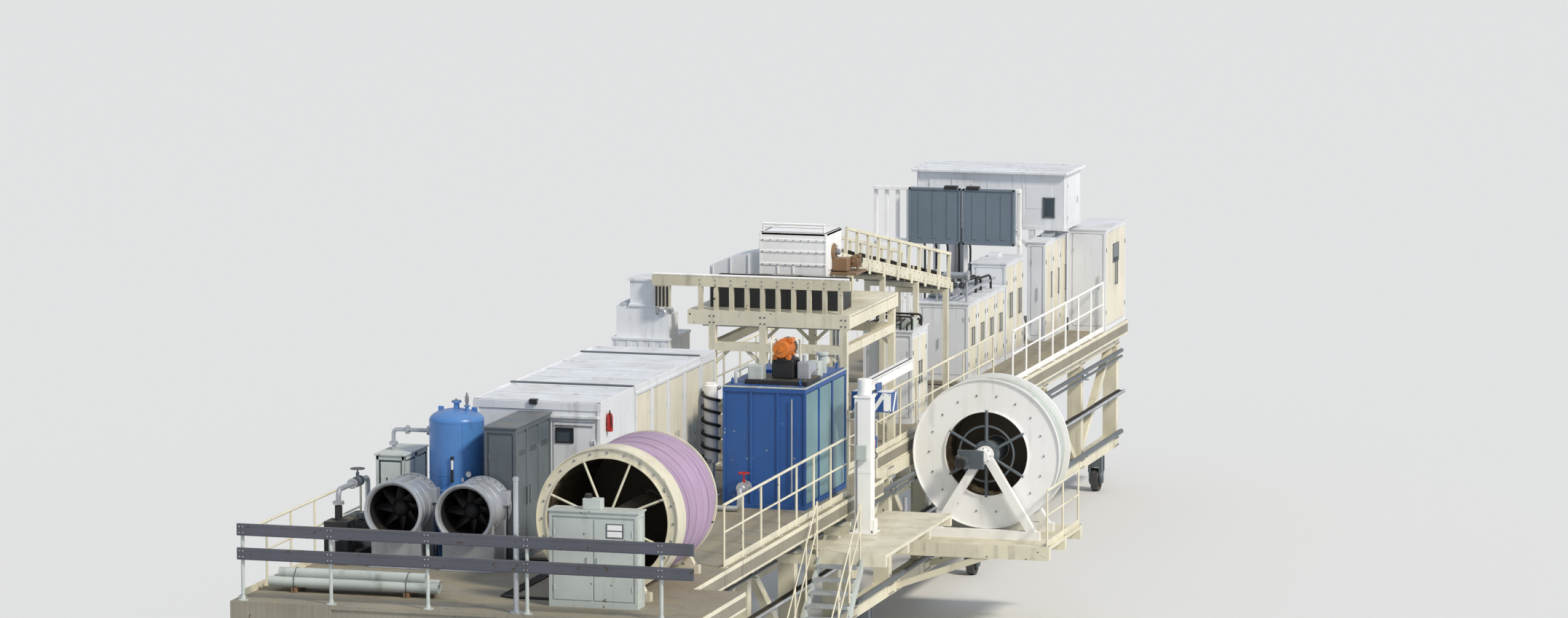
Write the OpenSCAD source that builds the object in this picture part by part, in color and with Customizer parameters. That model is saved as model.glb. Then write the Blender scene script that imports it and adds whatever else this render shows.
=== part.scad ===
// Trailing back-up train of a tunnel boring machine: three gantries hinged end to end.
// Millimetres. +Y is forward, towards the tunnel face, +X is right and +Z is up.
// The origin is on the floor, in the middle of the train's outline.

/* [Train] */
// Length of the whole train
train_l = 39400; // [38600:50:39700]
// Width over the widest platforms
train_w = 9200; // [9100:10:9600]
// Length of the rear gantry's deck
rear_l = 15500; // [15200:50:15900]
// Length of the middle gantry's deck
mid_l = 11600; // [11400:50:12000]
// Gap between the decks of two gantries
deck_gap = 600; // [500:10:700]

/* [Side frames] */
// Distance between the centres of the two side frames
frame_track = 2900; // [2840:10:2940]
// Width of a side frame
frame_t = 300; // [240:10:320]
// Height of the underside of the side frames over the floor
frame_foot = 780; // [740:10:820]
// Height of a side frame
frame_h = 2520; // [2400:10:2600]
// Height of a chord and width of a post
chord = 240; // [200:10:280]
// Width of a diagonal brace
brace = 150; // [120:10:180]

/* [Decks] */
// Height of the cross beams under a deck
beam_h = 240; // [200:10:280]
// Width of a cross beam
beam_w = 180; // [140:10:220]
// Thickness of the deck plates
plate_t = 60; // [40:5:80]
// Reach of the rear deck to the right of the centre line
rear_right = 2400; // [2350:10:2500]
// Reach of the rear end of the deck to the right, round the big reel
rear_wide = 3300; // [3000:10:3500]
// Length of the wide rear end of the deck
rear_wide_l = 3100; // [2600:10:3400]
// Reach of the rear deck to the left, beside the control room
rear_left = 2900; // [2800:10:3000]
// Length of the wide machinery platform on the left
machine_l = 6300; // [6200:10:6600]
// Reach of the middle deck to the left
mid_left = 3200; // [3150:10:3300]
// Reach of the front deck to the left
front_left = 2750; // [2740:10:3000]
// Reach of the front deck to the right
front_right = 1800; // [1700:10:1900]

/* [Wheels] */
// Diameter of a running wheel
wheel_d = 500; // [440:10:540]
// Width of a running wheel's tread
wheel_w = 160; // [140:10:180]
// Diameter of a stub axle
axle_d = 90; // [70:5:110]
// Running clearance round a stub axle
axle_gap = 0.5; // [0.3:0.1:1]
// Gap between a wheel and the cheeks that carry it
cheek_gap = 12; // [8:1:20]
// Thickness of a cheek plate
cheek_t = 40; // [30:5:50]
// Distance of the wheels from the ends of a side frame
wheel_inset = 1500; // [1300:50:1800]

/* [Drawbars] */
// Diameter of a drawbar pin
pin_d = 80; // [60:5:100]
// Running clearance round a drawbar pin
pin_gap = 0.5; // [0.3:0.1:1]
// Thickness of a drawbar's eye
eye_t = 90; // [70:5:110]
// Outer radius of a drawbar's eye
eye_r = 130; // [110:5:150]
// Gap between the eye and the jaws on each side
jaw_gap = 8; // [6:1:15]

/* [Control room and switch room] */
// Width of the row of containers
room_w = 2310; // [2200:10:2400]
// Height of the containers
room_h = 2400; // [2300:10:2450]
// Length of the control room
room_l = 1950; // [1900:10:2100]
// Length of the switch room
switch_l = 4050; // [3900:10:4100]
// Length of the relay box in front of it
relay_l = 900; // [800:10:950]
// Gap between two containers
room_gap = 50; // [30:5:80]
// Right wall of the containers, left of the centre line
room_right = 300; // [260:10:400]
// Height of the skids under the containers
skid_h = 100; // [80:10:140]
// Wall thickness of the control room
room_wall = 60; // [50:5:80]
// Width of the control room's door opening
door_w = 760; // [700:10:800]
// Height of the control room's door opening
door_h = 2000; // [1900:10:2050]
// Gap round the door
door_gap = 8; // [6:1:12]
// Width of the window in the door
door_win_w = 300; // [240:10:340]
// Height of the window in the door
door_win_h = 240; // [200:10:300]

/* [Rear hose reel] */
// Outer radius of the reel
reel_r = 1220; // [1180:10:1260]
// Width of the ring at its rear end
reel_ring = 180; // [150:10:200]
// Thickness of the ring and of the front disc
reel_flange_t = 50; // [40:5:70]
// Outer radius of the wound hose
reel_wound_r = 1150; // [1130:5:1160]
// Length of the reel between its ends
reel_l = 2450; // [2400:10:2550]
// Length of the bare rim at its rear end
reel_rim_l = 420; // [360:10:480]
// Radius of the reel's hub tube
reel_hub_r = 150; // [130:5:170]
// Number of spokes at the rear end
reel_spokes = 8; // [6:1:10]
// Diameter of a spoke
spoke_d = 50; // [40:5:60]
// Diameter of the reel's shaft
reel_shaft_d = 120; // [100:5:140]
// Gap between the reel and the deck
reel_lift = 50; // [40:10:80]
// Place of the reel's axis, right of the centre line
reel_x = 1260; // [1250:10:1290]

/* [Front hose reel] */
// Outer radius of the front reel
reel2_r = 1450; // [1400:10:1460]
// Inner radius of its side rings
reel2_in_r = 810; // [780:10:840]
// Length of its winding
reel2_l = 800; // [700:10:900]
// Thickness of a side ring
reel2_ring_t = 40; // [30:5:60]
// Radius of its hub
reel2_hub_r = 260; // [240:10:300]
// Gap between the reel and the platform under it
reel2_lift = 150; // [120:10:200]
// Height of the low platform's plate over the floor
low_deck_z = 1760; // [1700:10:1800]
// Length of the low platform
low_deck_l = 2800; // [2700:10:3000]

/* [Fans] */
// Inner radius of a fan casing
fan_r = 440; // [420:5:450]
// Wall thickness of a fan casing
fan_wall = 30; // [20:5:40]
// Length of a fan casing
fan_l = 1000; // [950:10:1040]
// Height of the fan axis over the deck
fan_h = 1000; // [900:10:1100]
// Gap between the blade tips and the casing
tip_gap = 12; // [8:1:20]
// Number of blades on a fan rotor
blades = 8; // [6:1:10]
// Radius of a fan's hub
fan_hub_r = 150; // [130:5:170]

/* [Air tank and cabinets] */
// Radius of the air receiver
tank_r = 470; // [440:5:480]
// Height of the air receiver's straight shell
tank_h = 2000; // [1900:10:2100]
// Height of the domed ends
tank_dome = 200; // [160:10:240]
// Height of the rear cabinets over the deck
cabinet_h = 2330; // [2200:10:2400]
// Height of the small pump cabinet
pump_cabinet_h = 1740; // [1600:10:1800]

/* [Mixing tank] */
// Width of the mixing tank
mix_w = 1540; // [1500:10:1580]
// Length of the mixing tank
mix_l = 2800; // [2700:10:2850]
// Height of the mixing tank
mix_h = 2200; // [2100:10:2250]
// Radius of the mixer's motor
mix_motor_r = 170; // [150:5:180]

/* [Hoist] */
// Height of the jib's column over the side platform
jib_h = 2500; // [2400:10:2600]
// Width of the jib's column
jib_w = 300; // [260:10:320]
// Length of the jib's arm
jib_l = 3200; // [3000:10:3250]
// Height of the jib's arm
jib_beam_h = 200; // [160:10:220]
// Travel of the hoist along the arm
hoist_travel = 1500; // [1200:50:1700]
// Height of the side platform's plate over the floor
side_deck_z = 3000; // [2950:10:3050]

/* [Upper frame and conveyor] */
// Height of the upper deck's underside over the main deck
upper_h = 2630; // [2600:10:2700]
// Height of the upper deck's edge beams
upper_beam = 230; // [200:10:250]
// Height of the ladder railing on the upper deck's rear edge
ladder_h = 620; // [600:10:700]
// Spacing of the ladder railing's posts
ladder_pitch = 300; // [280:10:330]
// Width of the belt conveyor
belt_w = 900; // [800:10:1000]
// Height of the conveyor's side posts over its stringers
belt_rail_h = 460; // [400:10:520]
// Drop of the conveyor along its length
belt_drop = 1700; // [1600:10:1800]

/* [Railings] */
// Height of the railings over the deck
rail_h = 1100; // [1000:10:1150]
// Diameter of a top rail
rail_d = 48; // [48:1:60]
// Diameter of a railing post
post_d = 42; // [38:1:46]
// Spacing of the railing posts
rail_pitch = 1200; // [1000:50:1500]

/* [Hidden] */
$fn = 48;

// Levels and outline
frame_top = frame_foot + frame_h;
deck_z = frame_top + beam_h + plate_t;
seat = 0.3;
rear_y0 = -train_l/2;
rear_y1 = rear_y0 + rear_l;
mid_y0 = rear_y1 + deck_gap;
mid_y1 = mid_y0 + mid_l;
front_y0 = mid_y1 + deck_gap;
front_y1 = train_l/2 - deck_gap/2 - eye_r;
front_l = front_y1 - front_y0;
outer_x = frame_track/2 + frame_t/2;
inner_x = frame_track/2 - frame_t/2;
half_w = train_w/2;

// Colours
cream = [0.88, 0.87, 0.78];
steel_grey = [0.36, 0.38, 0.41];
dark_grey = [0.22, 0.24, 0.27];
pale_grey = [0.74, 0.77, 0.76];
white = [0.92, 0.93, 0.92];
tank_blue = [0.26, 0.45, 0.72];
mix_blue = [0.16, 0.32, 0.58];
lilac = [0.68, 0.58, 0.72];
tan = [0.78, 0.74, 0.62];
rubber = [0.08, 0.08, 0.09];
silver = [0.70, 0.72, 0.74];
orange = [0.85, 0.42, 0.12];

// A block given by its low and high corners
module block(lo, hi) {
    translate(lo) cube(hi - lo);
}

// A tube along X, Y or Z from a point, by its diameter and length
module rod_x(p, d, l) {
    translate(p) rotate([0, 90, 0]) cylinder(d = d, h = l);
}
module rod_y(p, d, l) {
    translate(p) rotate([-90, 0, 0]) cylinder(d = d, h = l);
}
module rod_z(p, d, l) {
    translate(p) cylinder(d = d, h = l);
}

// A hollow-section cross beam along X, its foot at z
module cross_beam(x0, x1, y, z) {
    block([x0, y - beam_w/2, z], [x1, y + beam_w/2, z + beam_h - seat]);
}

// A straight strut of square section between two points in a plane of constant x
module strut_yz(x, w, y0, z0, y1, z1, s) {
    run = norm([y1 - y0, z1 - z0]);
    translate([x, y0, z0]) rotate([atan2(z1 - z0, y1 - y0), 0, 0])
        translate([-w/2, 0, -s/2]) cube([w, run, s]);
}

// A straight strut of square section between two points in a plane of constant y
module strut_xz(y, w, x0, z0, x1, z1, s) {
    run = norm([x1 - x0, z1 - z0]);
    translate([x0, y, z0]) rotate([0, -atan2(z1 - z0, x1 - x0), 0])
        translate([0, -w/2, -s/2]) cube([run, w, s]);
}

// Post places along a frame of length l, in bays of about 3 m
function bays(l) = round((l - chord)/3000);
function post_y(l, i) = chord/2 + (l - chord)*i/bays(l);

// One braced side frame at x, from y0, length l: its members butt against each other
module side_frame(x, y0, l) {
    z0 = frame_foot + chord + seat;
    z1 = frame_top - chord - seat;
    n = bays(l);
    w = frame_t/2;
    for (z = [frame_foot, frame_top - chord])
        block([x - w, y0, z], [x + w, y0 + l, z + chord]);
    for (i = [0:n])
        block([x - w, y0 + post_y(l, i) - chord/2, z0], [x + w, y0 + post_y(l, i) + chord/2, z1]);
    for (i = [0:n - 1]) {
        up = i % 2 == 0;
        ya = y0 + post_y(l, i);
        yb = y0 + post_y(l, i + 1);
        intersection() {
            strut_yz(x, w, ya, up ? z0 - chord/2 : z1 + chord/2, yb, up ? z1 + chord/2 : z0 - chord/2, brace);
            block([x - w, ya + chord/2 + seat, z0], [x + w, yb - chord/2 - seat, z1]);
        }
    }
}

module side_frames(y0, l) {
    for (side = [-1, 1]) side_frame(side*frame_track/2, y0, l);
}

// Cross beams over the posts, an edge plate on each side and the deck plate over them
module deck(y0, l, left, right) {
    n = bays(l)*2;
    for (i = [0:n])
        cross_beam(-left + plate_t + seat, right - plate_t - seat, y0 + chord/2 + (l - chord)*i/n, frame_top);
    block([-left, y0, deck_z - plate_t], [right, y0 + l, deck_z]);
    for (x = [-left, right - plate_t]) edge_plate(x, y0, l);
}

module edge_plate(x, y0, l) {
    block([x, y0, frame_top], [x + plate_t, y0 + l, deck_z - plate_t - seat]);
}

// One wheel on its stub axle: hub, web and tread turned in one profile
module wheel(x, y) {
    r = wheel_d/2;
    w = wheel_w/2;
    bore = axle_d/2 + axle_gap;
    hub = axle_d/2 + 45;
    color(steel_grey) translate([x, y, r]) rotate([0, 90, 0]) rotate_extrude()
        polygon([[bore, -w - cheek_gap/3], [hub, -w - cheek_gap/3], [hub + 15, -w*0.4],
                 [r - 60, -w*0.4], [r - 45, -w], [r - 8, -w], [r, -w + 12],
                 [r, w - 12], [r - 8, w], [r - 45, w], [r - 60, w*0.4],
                 [hub + 15, w*0.4], [hub, w + cheek_gap/3], [bore, w + cheek_gap/3]]);
}

// The cheeks, cap and stub axle over one wheel
module bogie(x, y) {
    w = wheel_w/2 + cheek_gap;
    cap_z = wheel_d + 40;
    reach = wheel_d*0.36;
    for (side = [-1, 1])
        translate([x + side*(w + cheek_t/2) - cheek_t/2, y, 0]) rotate([90, 0, 90])
            linear_extrude(cheek_t)
            polygon([[-reach, frame_foot], [-reach, wheel_d*0.75], [-axle_d, wheel_d/2 - axle_d],
                     [axle_d, wheel_d/2 - axle_d], [reach, wheel_d*0.75], [reach, frame_foot]]);
    block([x - w + seat, y - reach, cap_z], [x + w - seat, y + reach, frame_foot]);
    rod_x([x - w + seat, y, wheel_d/2], axle_d, 2*w - 2*seat);
}

function wheel_places(y0, l) = [
    for (side = [-1, 1]) for (end = [0, 1])
        [side*frame_track/2, y0 + (end == 0 ? wheel_inset : l - wheel_inset)]];

module bogies(y0, l) {
    color(steel_grey) for (p = wheel_places(y0, l)) bogie(p[0], p[1]);
}

// The jaws and pin of a drawbar, reaching forward or back (dir) from a deck's end at y
module drawbar_jaws(y, dir) {
    z = frame_top + beam_h/2;
    yc = y + dir*deck_gap/2;
    jaw_t = 50;
    half = eye_t/2 + jaw_gap;
    for (s = [-1, 1])
        translate([0, 0, z + s*(half + jaw_t/2) - jaw_t/2]) linear_extrude(jaw_t) {
            translate([0, yc]) circle(r = eye_r);
            translate([-eye_r, min(yc, y)]) square([2*eye_r, deck_gap/2]);
        }
    rod_z([0, yc, z - half - jaw_t], pin_d, 2*half + 2*jaw_t);
    root = chord/2 - beam_w/2 - seat;
    block([-eye_r*2, dir > 0 ? y - root : y, z - eye_t], [eye_r*2, dir > 0 ? y : y + root, z + eye_t]);
    for (s = [-1, 1])
        block([-eye_r, dir > 0 ? y - root : y - 1, z + s*(half + jaw_t/2) - jaw_t/2],
              [eye_r, dir > 0 ? y + 1 : y + root, z + s*(half + jaw_t/2) + jaw_t/2]);
}

// The eye of a drawbar, reaching back (dir -1) or forward (dir 1) from a deck's end at y
module drawbar_eye(y, dir) {
    z = frame_top + beam_h/2;
    w = eye_r*0.8;
    yc = y + dir*deck_gap/2;
    root = chord/2 - beam_w/2 - seat;
    difference() {
        union() {
            translate([0, yc, z - eye_t/2]) cylinder(r = eye_r, h = eye_t);
            block([-w, min(yc, y - 1), z - eye_t/2], [w, max(yc, y + 1), z + eye_t/2]);
        }
        translate([0, yc, z - eye_t]) cylinder(d = pin_d + 2*pin_gap, h = 2*eye_t);
    }
    block([-eye_r*2, dir < 0 ? y : y - root, z - eye_t], [eye_r*2, dir < 0 ? y + root : y, z + eye_t]);
}

// A straight railing of length l: posts, a top rail over them and a middle rail in pieces between them
mid_rail_d = post_d - 6;
module railing(l, h) {
    n = max(1, round((l - rail_d)/rail_pitch));
    step = (l - rail_d)/n;
    $fn = 16;
    rod_x([0, 0, h - rail_d/2], rail_d, l);
    for (i = [0:n])
        rod_z([rail_d/2 + step*i, 0, 0], post_d, h - rail_d - seat);
    for (i = [0:n - 1])
        rod_x([rail_d/2 + step*i + post_d/2 + seat, 0, h*0.55], mid_rail_d, step - post_d - 2*seat);
}
module railing_x(y, x0, x1, z, h = rail_h) {
    translate([x0, y, z]) railing(x1 - x0, h);
}
module railing_y(x, y0, y1, z) {
    translate([x, y0, z]) rotate([0, 0, 90]) railing(y1 - y0, rail_h);
}

// A cabinet with a plinth, recessed door panels on its -Y and +X faces and a drip roof
module cabinet(lo, hi, doors_x = 2) {
    t = 25;
    plinth = 80;
    difference() {
        block(lo, hi - [0, 0, t]);
        for (i = [0:doors_x - 1]) {
            w = (hi[1] - lo[1])/doors_x;
            block([hi[0] - t, lo[1] + w*i + 2*t, lo[2] + plinth + t],
                  [hi[0] + 1, lo[1] + w*(i + 1) - 2*t, hi[2] - 4*t]);
        }
        block([lo[0] + 2*t, lo[1] - 1, lo[2] + plinth + t], [hi[0] - 2*t, lo[1] + t, hi[2] - 4*t]);
    }
    block([lo[0] - t, lo[1] - t, hi[2] - t], [hi[0] + t, hi[1] + t, hi[2]]);
}

// Rear gantry

module rear_side_frames() {
    color(cream) side_frames(rear_y0, rear_l);
}

module rear_deck() {
    color(cream) {
        deck(rear_y0, rear_l, rear_left, rear_right);
        block([rear_right + seat, rear_y0, deck_z - plate_t], [rear_wide, rear_y0 + rear_wide_l, deck_z]);
        edge_plate(rear_wide - plate_t, rear_y0, rear_wide_l);
        for (i = [0:2])
            cross_beam(rear_right + seat, rear_wide - plate_t - seat,
                       rear_y0 + beam_w/2 + (rear_wide_l - beam_w)*i/2, frame_top);
        block([-half_w, rear_y0, deck_z - plate_t], [-rear_left - seat, rear_y0 + machine_l, deck_z]);
        edge_plate(-half_w, rear_y0, machine_l);
        for (i = [0:3])
            cross_beam(-half_w + plate_t + seat, -rear_left - seat,
                       rear_y0 + beam_w/2 + (machine_l - beam_w)*i/3, frame_top);
        drawbar_jaws(rear_y1, 1);
    }
}

module rear_bogies() {
    bogies(rear_y0, rear_l);
}

// Dark guardrail of wide rails across the rear end, on pale posts, with a tall pole
guard_post_d = 60;
module rear_guardrail() {
    y = rear_y0 + 60;
    x0 = -half_w + 100;
    color(dark_grey) for (z = [deck_z + 680, deck_z + 1080])
        block([x0, y, z], [rear_wide, y + 50, z + 200]);
    color(pale_grey) {
        for (share = [0.01, 0.206, 0.42, 0.637, 0.928])
            rod_z([x0 + (rear_wide - x0)*share, y + 50 + guard_post_d/2 + seat, deck_z + seat],
                  guard_post_d, 1260);
        rod_z([x0 + (rear_wide - x0)*0.611, y + 120, deck_z + seat], 90, 2230);
    }
}

room_x0 = -room_right - room_w;
room_x1 = -room_right;
room_y0 = rear_y0 + 6700;
room_z0 = deck_z + skid_h;
room_z1 = room_z0 + room_h;

module rear_railings() {
    color(cream) {
        railing_y(rear_right - 100, room_y0 - 1460, rear_y1 - 2200, deck_z);
        railing_x(rear_y1 - 60, room_x0, 2300, deck_z);
        railing_y(-half_w + 60, rear_y0 + 400, rear_y0 + machine_l, deck_z);
    }
}

// Low platform on the right that carries the jib
side_y0 = rear_y1 - 4800;
module side_platform() {
    x0 = outer_x;
    x1 = 3700;
    y1 = rear_y1;
    color(cream) {
        block([rear_right + 40, side_y0, side_deck_z - plate_t], [x1, y1, side_deck_z]);
        for (i = [0:3])
            block([x0, side_y0 + (y1 - side_y0 - 120)*i/3, side_deck_z - plate_t - 160],
                  [x1, side_y0 + 120 + (y1 - side_y0 - 120)*i/3, side_deck_z - plate_t - seat]);
    }
}

// Stair from the low platform down towards the rear
module access_stair() {
    x0 = 2500;
    w = 750;
    rise = 200;
    n = 11;
    color(pale_grey) {
        for (i = [0:n - 1])
            block([x0 + seat, side_y0 - 260 - 220*i, side_deck_z - rise*(i + 1) - 40],
                  [x0 + w - seat, side_y0 - seat - 220*i, side_deck_z - rise*(i + 1)]);
        for (x = [x0 - 40, x0 + w])
            translate([x, side_y0 - seat, side_deck_z - 60]) rotate([90, 0, 90]) linear_extrude(40)
                polygon([[0, 0], [0, -240], [-220*n - 40, -rise*n - 240], [-220*n - 40, -rise*n]]);
    }
}

// The hinges of the control room's door, clear of the wall
hinge_d = 20;
hinge_h = 60;
hinge_gap = 5;
hinge_x = room_x1 - 110 - door_gap/2;
hinge_y = room_y0 - 20 - 22;
hinge_zs = [room_z0 + 400, room_z0 + 1700];

// Hollow control room with a door opening in its rear wall
module control_room() {
    x0 = room_x0;
    x1 = room_x1;
    y0 = room_y0;
    y1 = room_y0 + room_l;
    t = room_wall;
    dx1 = x1 - 110;
    dx0 = dx1 - door_w;
    wall_z0 = room_z0 + t + seat;
    wall_z1 = room_z1 - t - seat;
    color(white) {
        for (z = [room_z0, room_z1 - t])
            block([x0, y0, z], [x1, y1, z + t]);
        block([x0, y1 - t, wall_z0], [x1, y1, wall_z1]);
        for (x = [x0, x1 - t])
            block([x, y0 + t + seat, wall_z0], [x + t, y1 - t - seat, wall_z1]);
        block([x0, y0, wall_z0], [dx0, y0 + t, wall_z1]);
        block([dx1, y0, wall_z0], [x1, y0 + t, wall_z1]);
        block([dx0 + seat, y0, room_z0 + t + door_h], [dx1 - seat, y0 + t, wall_z1]);
        for (x = [x0, x1 - 150])
            block([x, y0, deck_z], [x + 150, y1, room_z0 - seat]);
        for (z = hinge_zs) {
            rod_z([hinge_x, hinge_y, z - hinge_h], hinge_d, 2*hinge_h);
            block([hinge_x + 1, hinge_y, z - hinge_h], [hinge_x + 70, y0 + 1, z - hinge_gap]);
        }
    }
}

module control_room_door() {
    t = room_wall;
    dx1 = room_x1 - 110 - door_gap;
    dx0 = dx1 - door_w + 2*door_gap;
    z0 = room_z0 + t + door_gap;
    z1 = room_z0 + t + door_h - door_gap;
    wx = dx0 + 200;
    wz = z1 - 335;
    color(pale_grey) {
        difference() {
            block([dx0, room_y0 - 20, z0], [dx1, room_y0 + t - 20, z1]);
            block([wx - door_win_w/2, room_y0 - 50, wz], [wx + door_win_w/2, room_y0 + t, wz + door_win_h]);
        }
        for (z = hinge_zs) difference() {
            union() {
                rod_z([hinge_x, hinge_y, z], 2*hinge_d, hinge_h - 2);
                block([dx1 - 60, hinge_y, z], [hinge_x, room_y0 - 19, z + hinge_h - 2]);
            }
            rod_z([hinge_x, hinge_y, z - 1], hinge_d + 2*axle_gap, hinge_h);
        }
    }
}

// Closed switch room and relay box, ribbed on their roofs
module switch_room() {
    y0 = room_y0 + room_l + room_gap;
    y1 = y0 + switch_l;
    y2 = y1 + room_gap;
    color(white) {
        for (m = [[y0, y1], [y2, y2 + relay_l]]) {
            difference() {
                block([room_x0, m[0], room_z0], [room_x1, m[1], room_z1]);
                n = max(1, round((m[1] - m[0])/1000));
                w = (m[1] - m[0])/n;
                for (i = [0:n - 1])
                    block([room_x1 - 30, m[0] + w*i + 70, room_z0 + 120],
                          [room_x1 + 1, m[0] + w*(i + 1) - 70, room_z1 - 140]);
            }
            for (x = [room_x0, room_x1 - 150])
                block([x, m[0], deck_z], [x + 150, m[1], room_z0 + 1]);
        }
    }
}

// Rear hose reel: it turns about an axis along Y
reel_z = deck_z + reel_lift + reel_r;
reel_y0 = rear_y0 + 1950;
reel_len = reel_l + 2*reel_flange_t;

// A ring along Y from a point, out of n wedges with a flat inside at radius r_in
module wedge_ring(p, r, r_in, l, n) {
    a = 180/n;
    gap = seat/2/cos(a);
    far = r*1.1/cos(a);
    translate(p) rotate([-90, 0, 0]) for (i = [0:n - 1]) rotate([0, 0, 2*a*i])
        intersection() {
            cylinder(r = r, h = l, $fn = 96);
            translate([0, 0, -1]) linear_extrude(l + 2)
                polygon([[r_in, gap - r_in*tan(a)], [far, gap - far*tan(a)],
                         [far, far*tan(a) - gap], [r_in, r_in*tan(a) - gap]]);
        }
}

// Flat spokes between a hub and a ring, from a point along Y
module spokes(p, hub, r_in, t, n, d) {
    translate(p) rotate([-90, 0, 0]) for (i = [0:n - 1]) rotate([0, 0, 360*i/n])
        translate([hub + seat, -d/2, 0]) cube([r_in - hub - 2*seat, d, t]);
}

// A hub tube along Y with a bore for the shaft
module reel_hub(p, r, l) {
    difference() {
        rod_y(p, 2*r, l);
        rod_y(p - [0, 1, 0], reel_shaft_d + 1, l + 2);
    }
}

module hose_reel() {
    p = [reel_x, reel_y0, reel_z];
    in_r = reel_r - reel_ring;
    rim = reel_flange_t + reel_rim_l;
    color(cream) {
        wedge_ring(p, reel_r, in_r, rim, 2*reel_spokes);
        spokes(p, reel_hub_r, in_r, reel_flange_t, reel_spokes, spoke_d);
        reel_hub(p, reel_hub_r, reel_len);
        wedge_ring(p + [0, reel_len - reel_flange_t, 0], reel_wound_r, reel_hub_r + seat,
                   reel_flange_t, reel_spokes);
    }
    color(lilac) wedge_ring(p + [0, rim + seat, 0], reel_wound_r, in_r,
                            reel_len - rim - reel_flange_t - 2*seat, 2*reel_spokes);
}

// Trestles and fixed shaft of the rear reel
module reel_stand() {
    gap = 60;
    leg = 140;
    color(cream) {
        for (y = [reel_y0 - gap - leg, reel_y0 + reel_len + gap]) {
            for (s = [-1, 1])
                strut_xz(y + leg/2, leg - 20, reel_x + s*700, deck_z + leg*0.3, reel_x + s*40, reel_z, leg);
            block([reel_x - 800, y, deck_z], [reel_x + 800, y + leg, deck_z + leg]);
            rod_y([reel_x, y, reel_z], 300, leg);
        }
        rod_y([reel_x, reel_y0 - gap - leg, reel_z], reel_shaft_d, reel_len + 2*gap + 2*leg);
    }
}

module reel_control_box() {
    y = reel_y0 - 1000;
    color(white) cabinet([reel_x - 680, y, deck_z + seat], [reel_x + 830, y + 400, deck_z + 1600], 1);
}

// Places on the left platform, as shares of the way from its edge to the dark cabinet
dark_cabinet_x = -1760;
function left_x(share) = -half_w + (half_w + dark_cabinet_x)*share;

// Two axial fans with their inlets towards the rear
fan_y0 = rear_y0 + 3600;
fan_xs = [left_x(0.56), left_x(1.004)];
fan_z = deck_z + fan_h;
fan_shaft_d = 60;
rotor_in = 330;
rotor_w = 220;

module fan_casings() {
    color(silver) for (x = fan_xs) {
        difference() {
            union() {
                rod_y([x, fan_y0, fan_z], 2*(fan_r + fan_wall), fan_l);
                for (y = [fan_y0, fan_y0 + fan_l - 40])
                    rod_y([x, y, fan_z], 2*(fan_r + fan_wall + 35), 40);
            }
            rod_y([x, fan_y0 - 1, fan_z], 2*fan_r, fan_l - 60);
        }
        rod_y([x, fan_y0 + fan_l - 420, fan_z], 200, 400);
        rod_y([x, fan_y0 + rotor_in + rotor_w - 150, fan_z], fan_shaft_d, fan_l - rotor_in - rotor_w - 200);
        for (y = [fan_y0 + 120, fan_y0 + fan_l - 240])
            difference() {
                block([x - fan_r, y, deck_z], [x + fan_r, y + 120, fan_z - fan_r/2]);
                rod_y([x, y - 1, fan_z], 2*(fan_r + fan_wall/2), 122);
            }
    }
}

module fan_rotor(x) {
    y = fan_y0 + rotor_in;
    tip = fan_r - tip_gap;
    color(dark_grey) {
        difference() {
            rod_y([x, y, fan_z], 2*fan_hub_r, rotor_w);
            rod_y([x, y + rotor_w - 160, fan_z], fan_shaft_d + 2*axle_gap, 170);
        }
        for (i = [0:blades - 1])
            translate([x, y + 110, fan_z]) rotate([0, 360*i/blades, 0]) rotate([0, 0, 35])
                translate([0, -75, 0])
                intersection() {
                    translate([-7, 0, fan_hub_r - 30]) cube([14, 150, tip - fan_hub_r + 22]);
                    translate([0, 75, 0]) rotate([90, 0, 0]) cylinder(r = tip - 4, h = 400, center = true);
                }
    }
}

// Upright air receiver on a skirt
tank_x = left_x(0.745);
tank_y = rear_y0 + 5400;
module air_receiver() {
    z0 = deck_z + 120;
    color(tank_blue) translate([tank_x, tank_y, 0]) {
        rotate_extrude($fn = 64) union() {
            translate([0, z0 + tank_dome]) square([tank_r, tank_h]);
            for (k = [0, 1])
                intersection() {
                    translate([0, z0 + tank_dome + k*tank_h]) scale([1, tank_dome/tank_r])
                        circle(r = tank_r, $fn = 64);
                    translate([0, z0]) square([tank_r, tank_h + 2*tank_dome]);
                }
        }
        difference() {
            translate([0, 0, deck_z]) cylinder(r = tank_r*0.72, h = 400);
            translate([0, 0, deck_z - 1]) cylinder(r = tank_r*0.72 - 12, h = 380);
        }
    }
}

// Dark cabinet beside the door and the pale one by the pumps
module rear_cabinets() {
    color(steel_grey) cabinet([dark_cabinet_x, room_y0 - 2000, deck_z + seat],
                              [-1200, room_y0 - 60, deck_z + cabinet_h], 3);
    color(pale_grey) cabinet([left_x(0.28), room_y0 - 1700, deck_z + seat],
                             [left_x(0.46), room_y0 - 500, deck_z + pump_cabinet_h], 2);
}

// Pipes stored across the left platform, on two bearers
module stored_pipes() {
    d = 170;
    pitch = 180;
    y = rear_y0 + 1100;
    bearer = 80;
    x0 = left_x(0.1);
    x1 = left_x(1.14);
    z = deck_z + bearer + d/2 + 2*seat;
    color(steel_grey) {
        for (i = [0:2])
            rod_x([x0 + 40*i, y + pitch*i, z], d, x1 - x0 - 90*i);
        rod_x([x0 + 150, y + pitch/2, z + sqrt(pow(d + seat, 2) - pow(pitch/2, 2))], d, x1 - x0 - 400);
    }
    color(dark_grey) for (x = [x0 + 400, x1 - 600])
        block([x, y - d/2, deck_z + seat], [x + 100, y + 2*pitch + d/2, deck_z + bearer + seat]);
}

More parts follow.
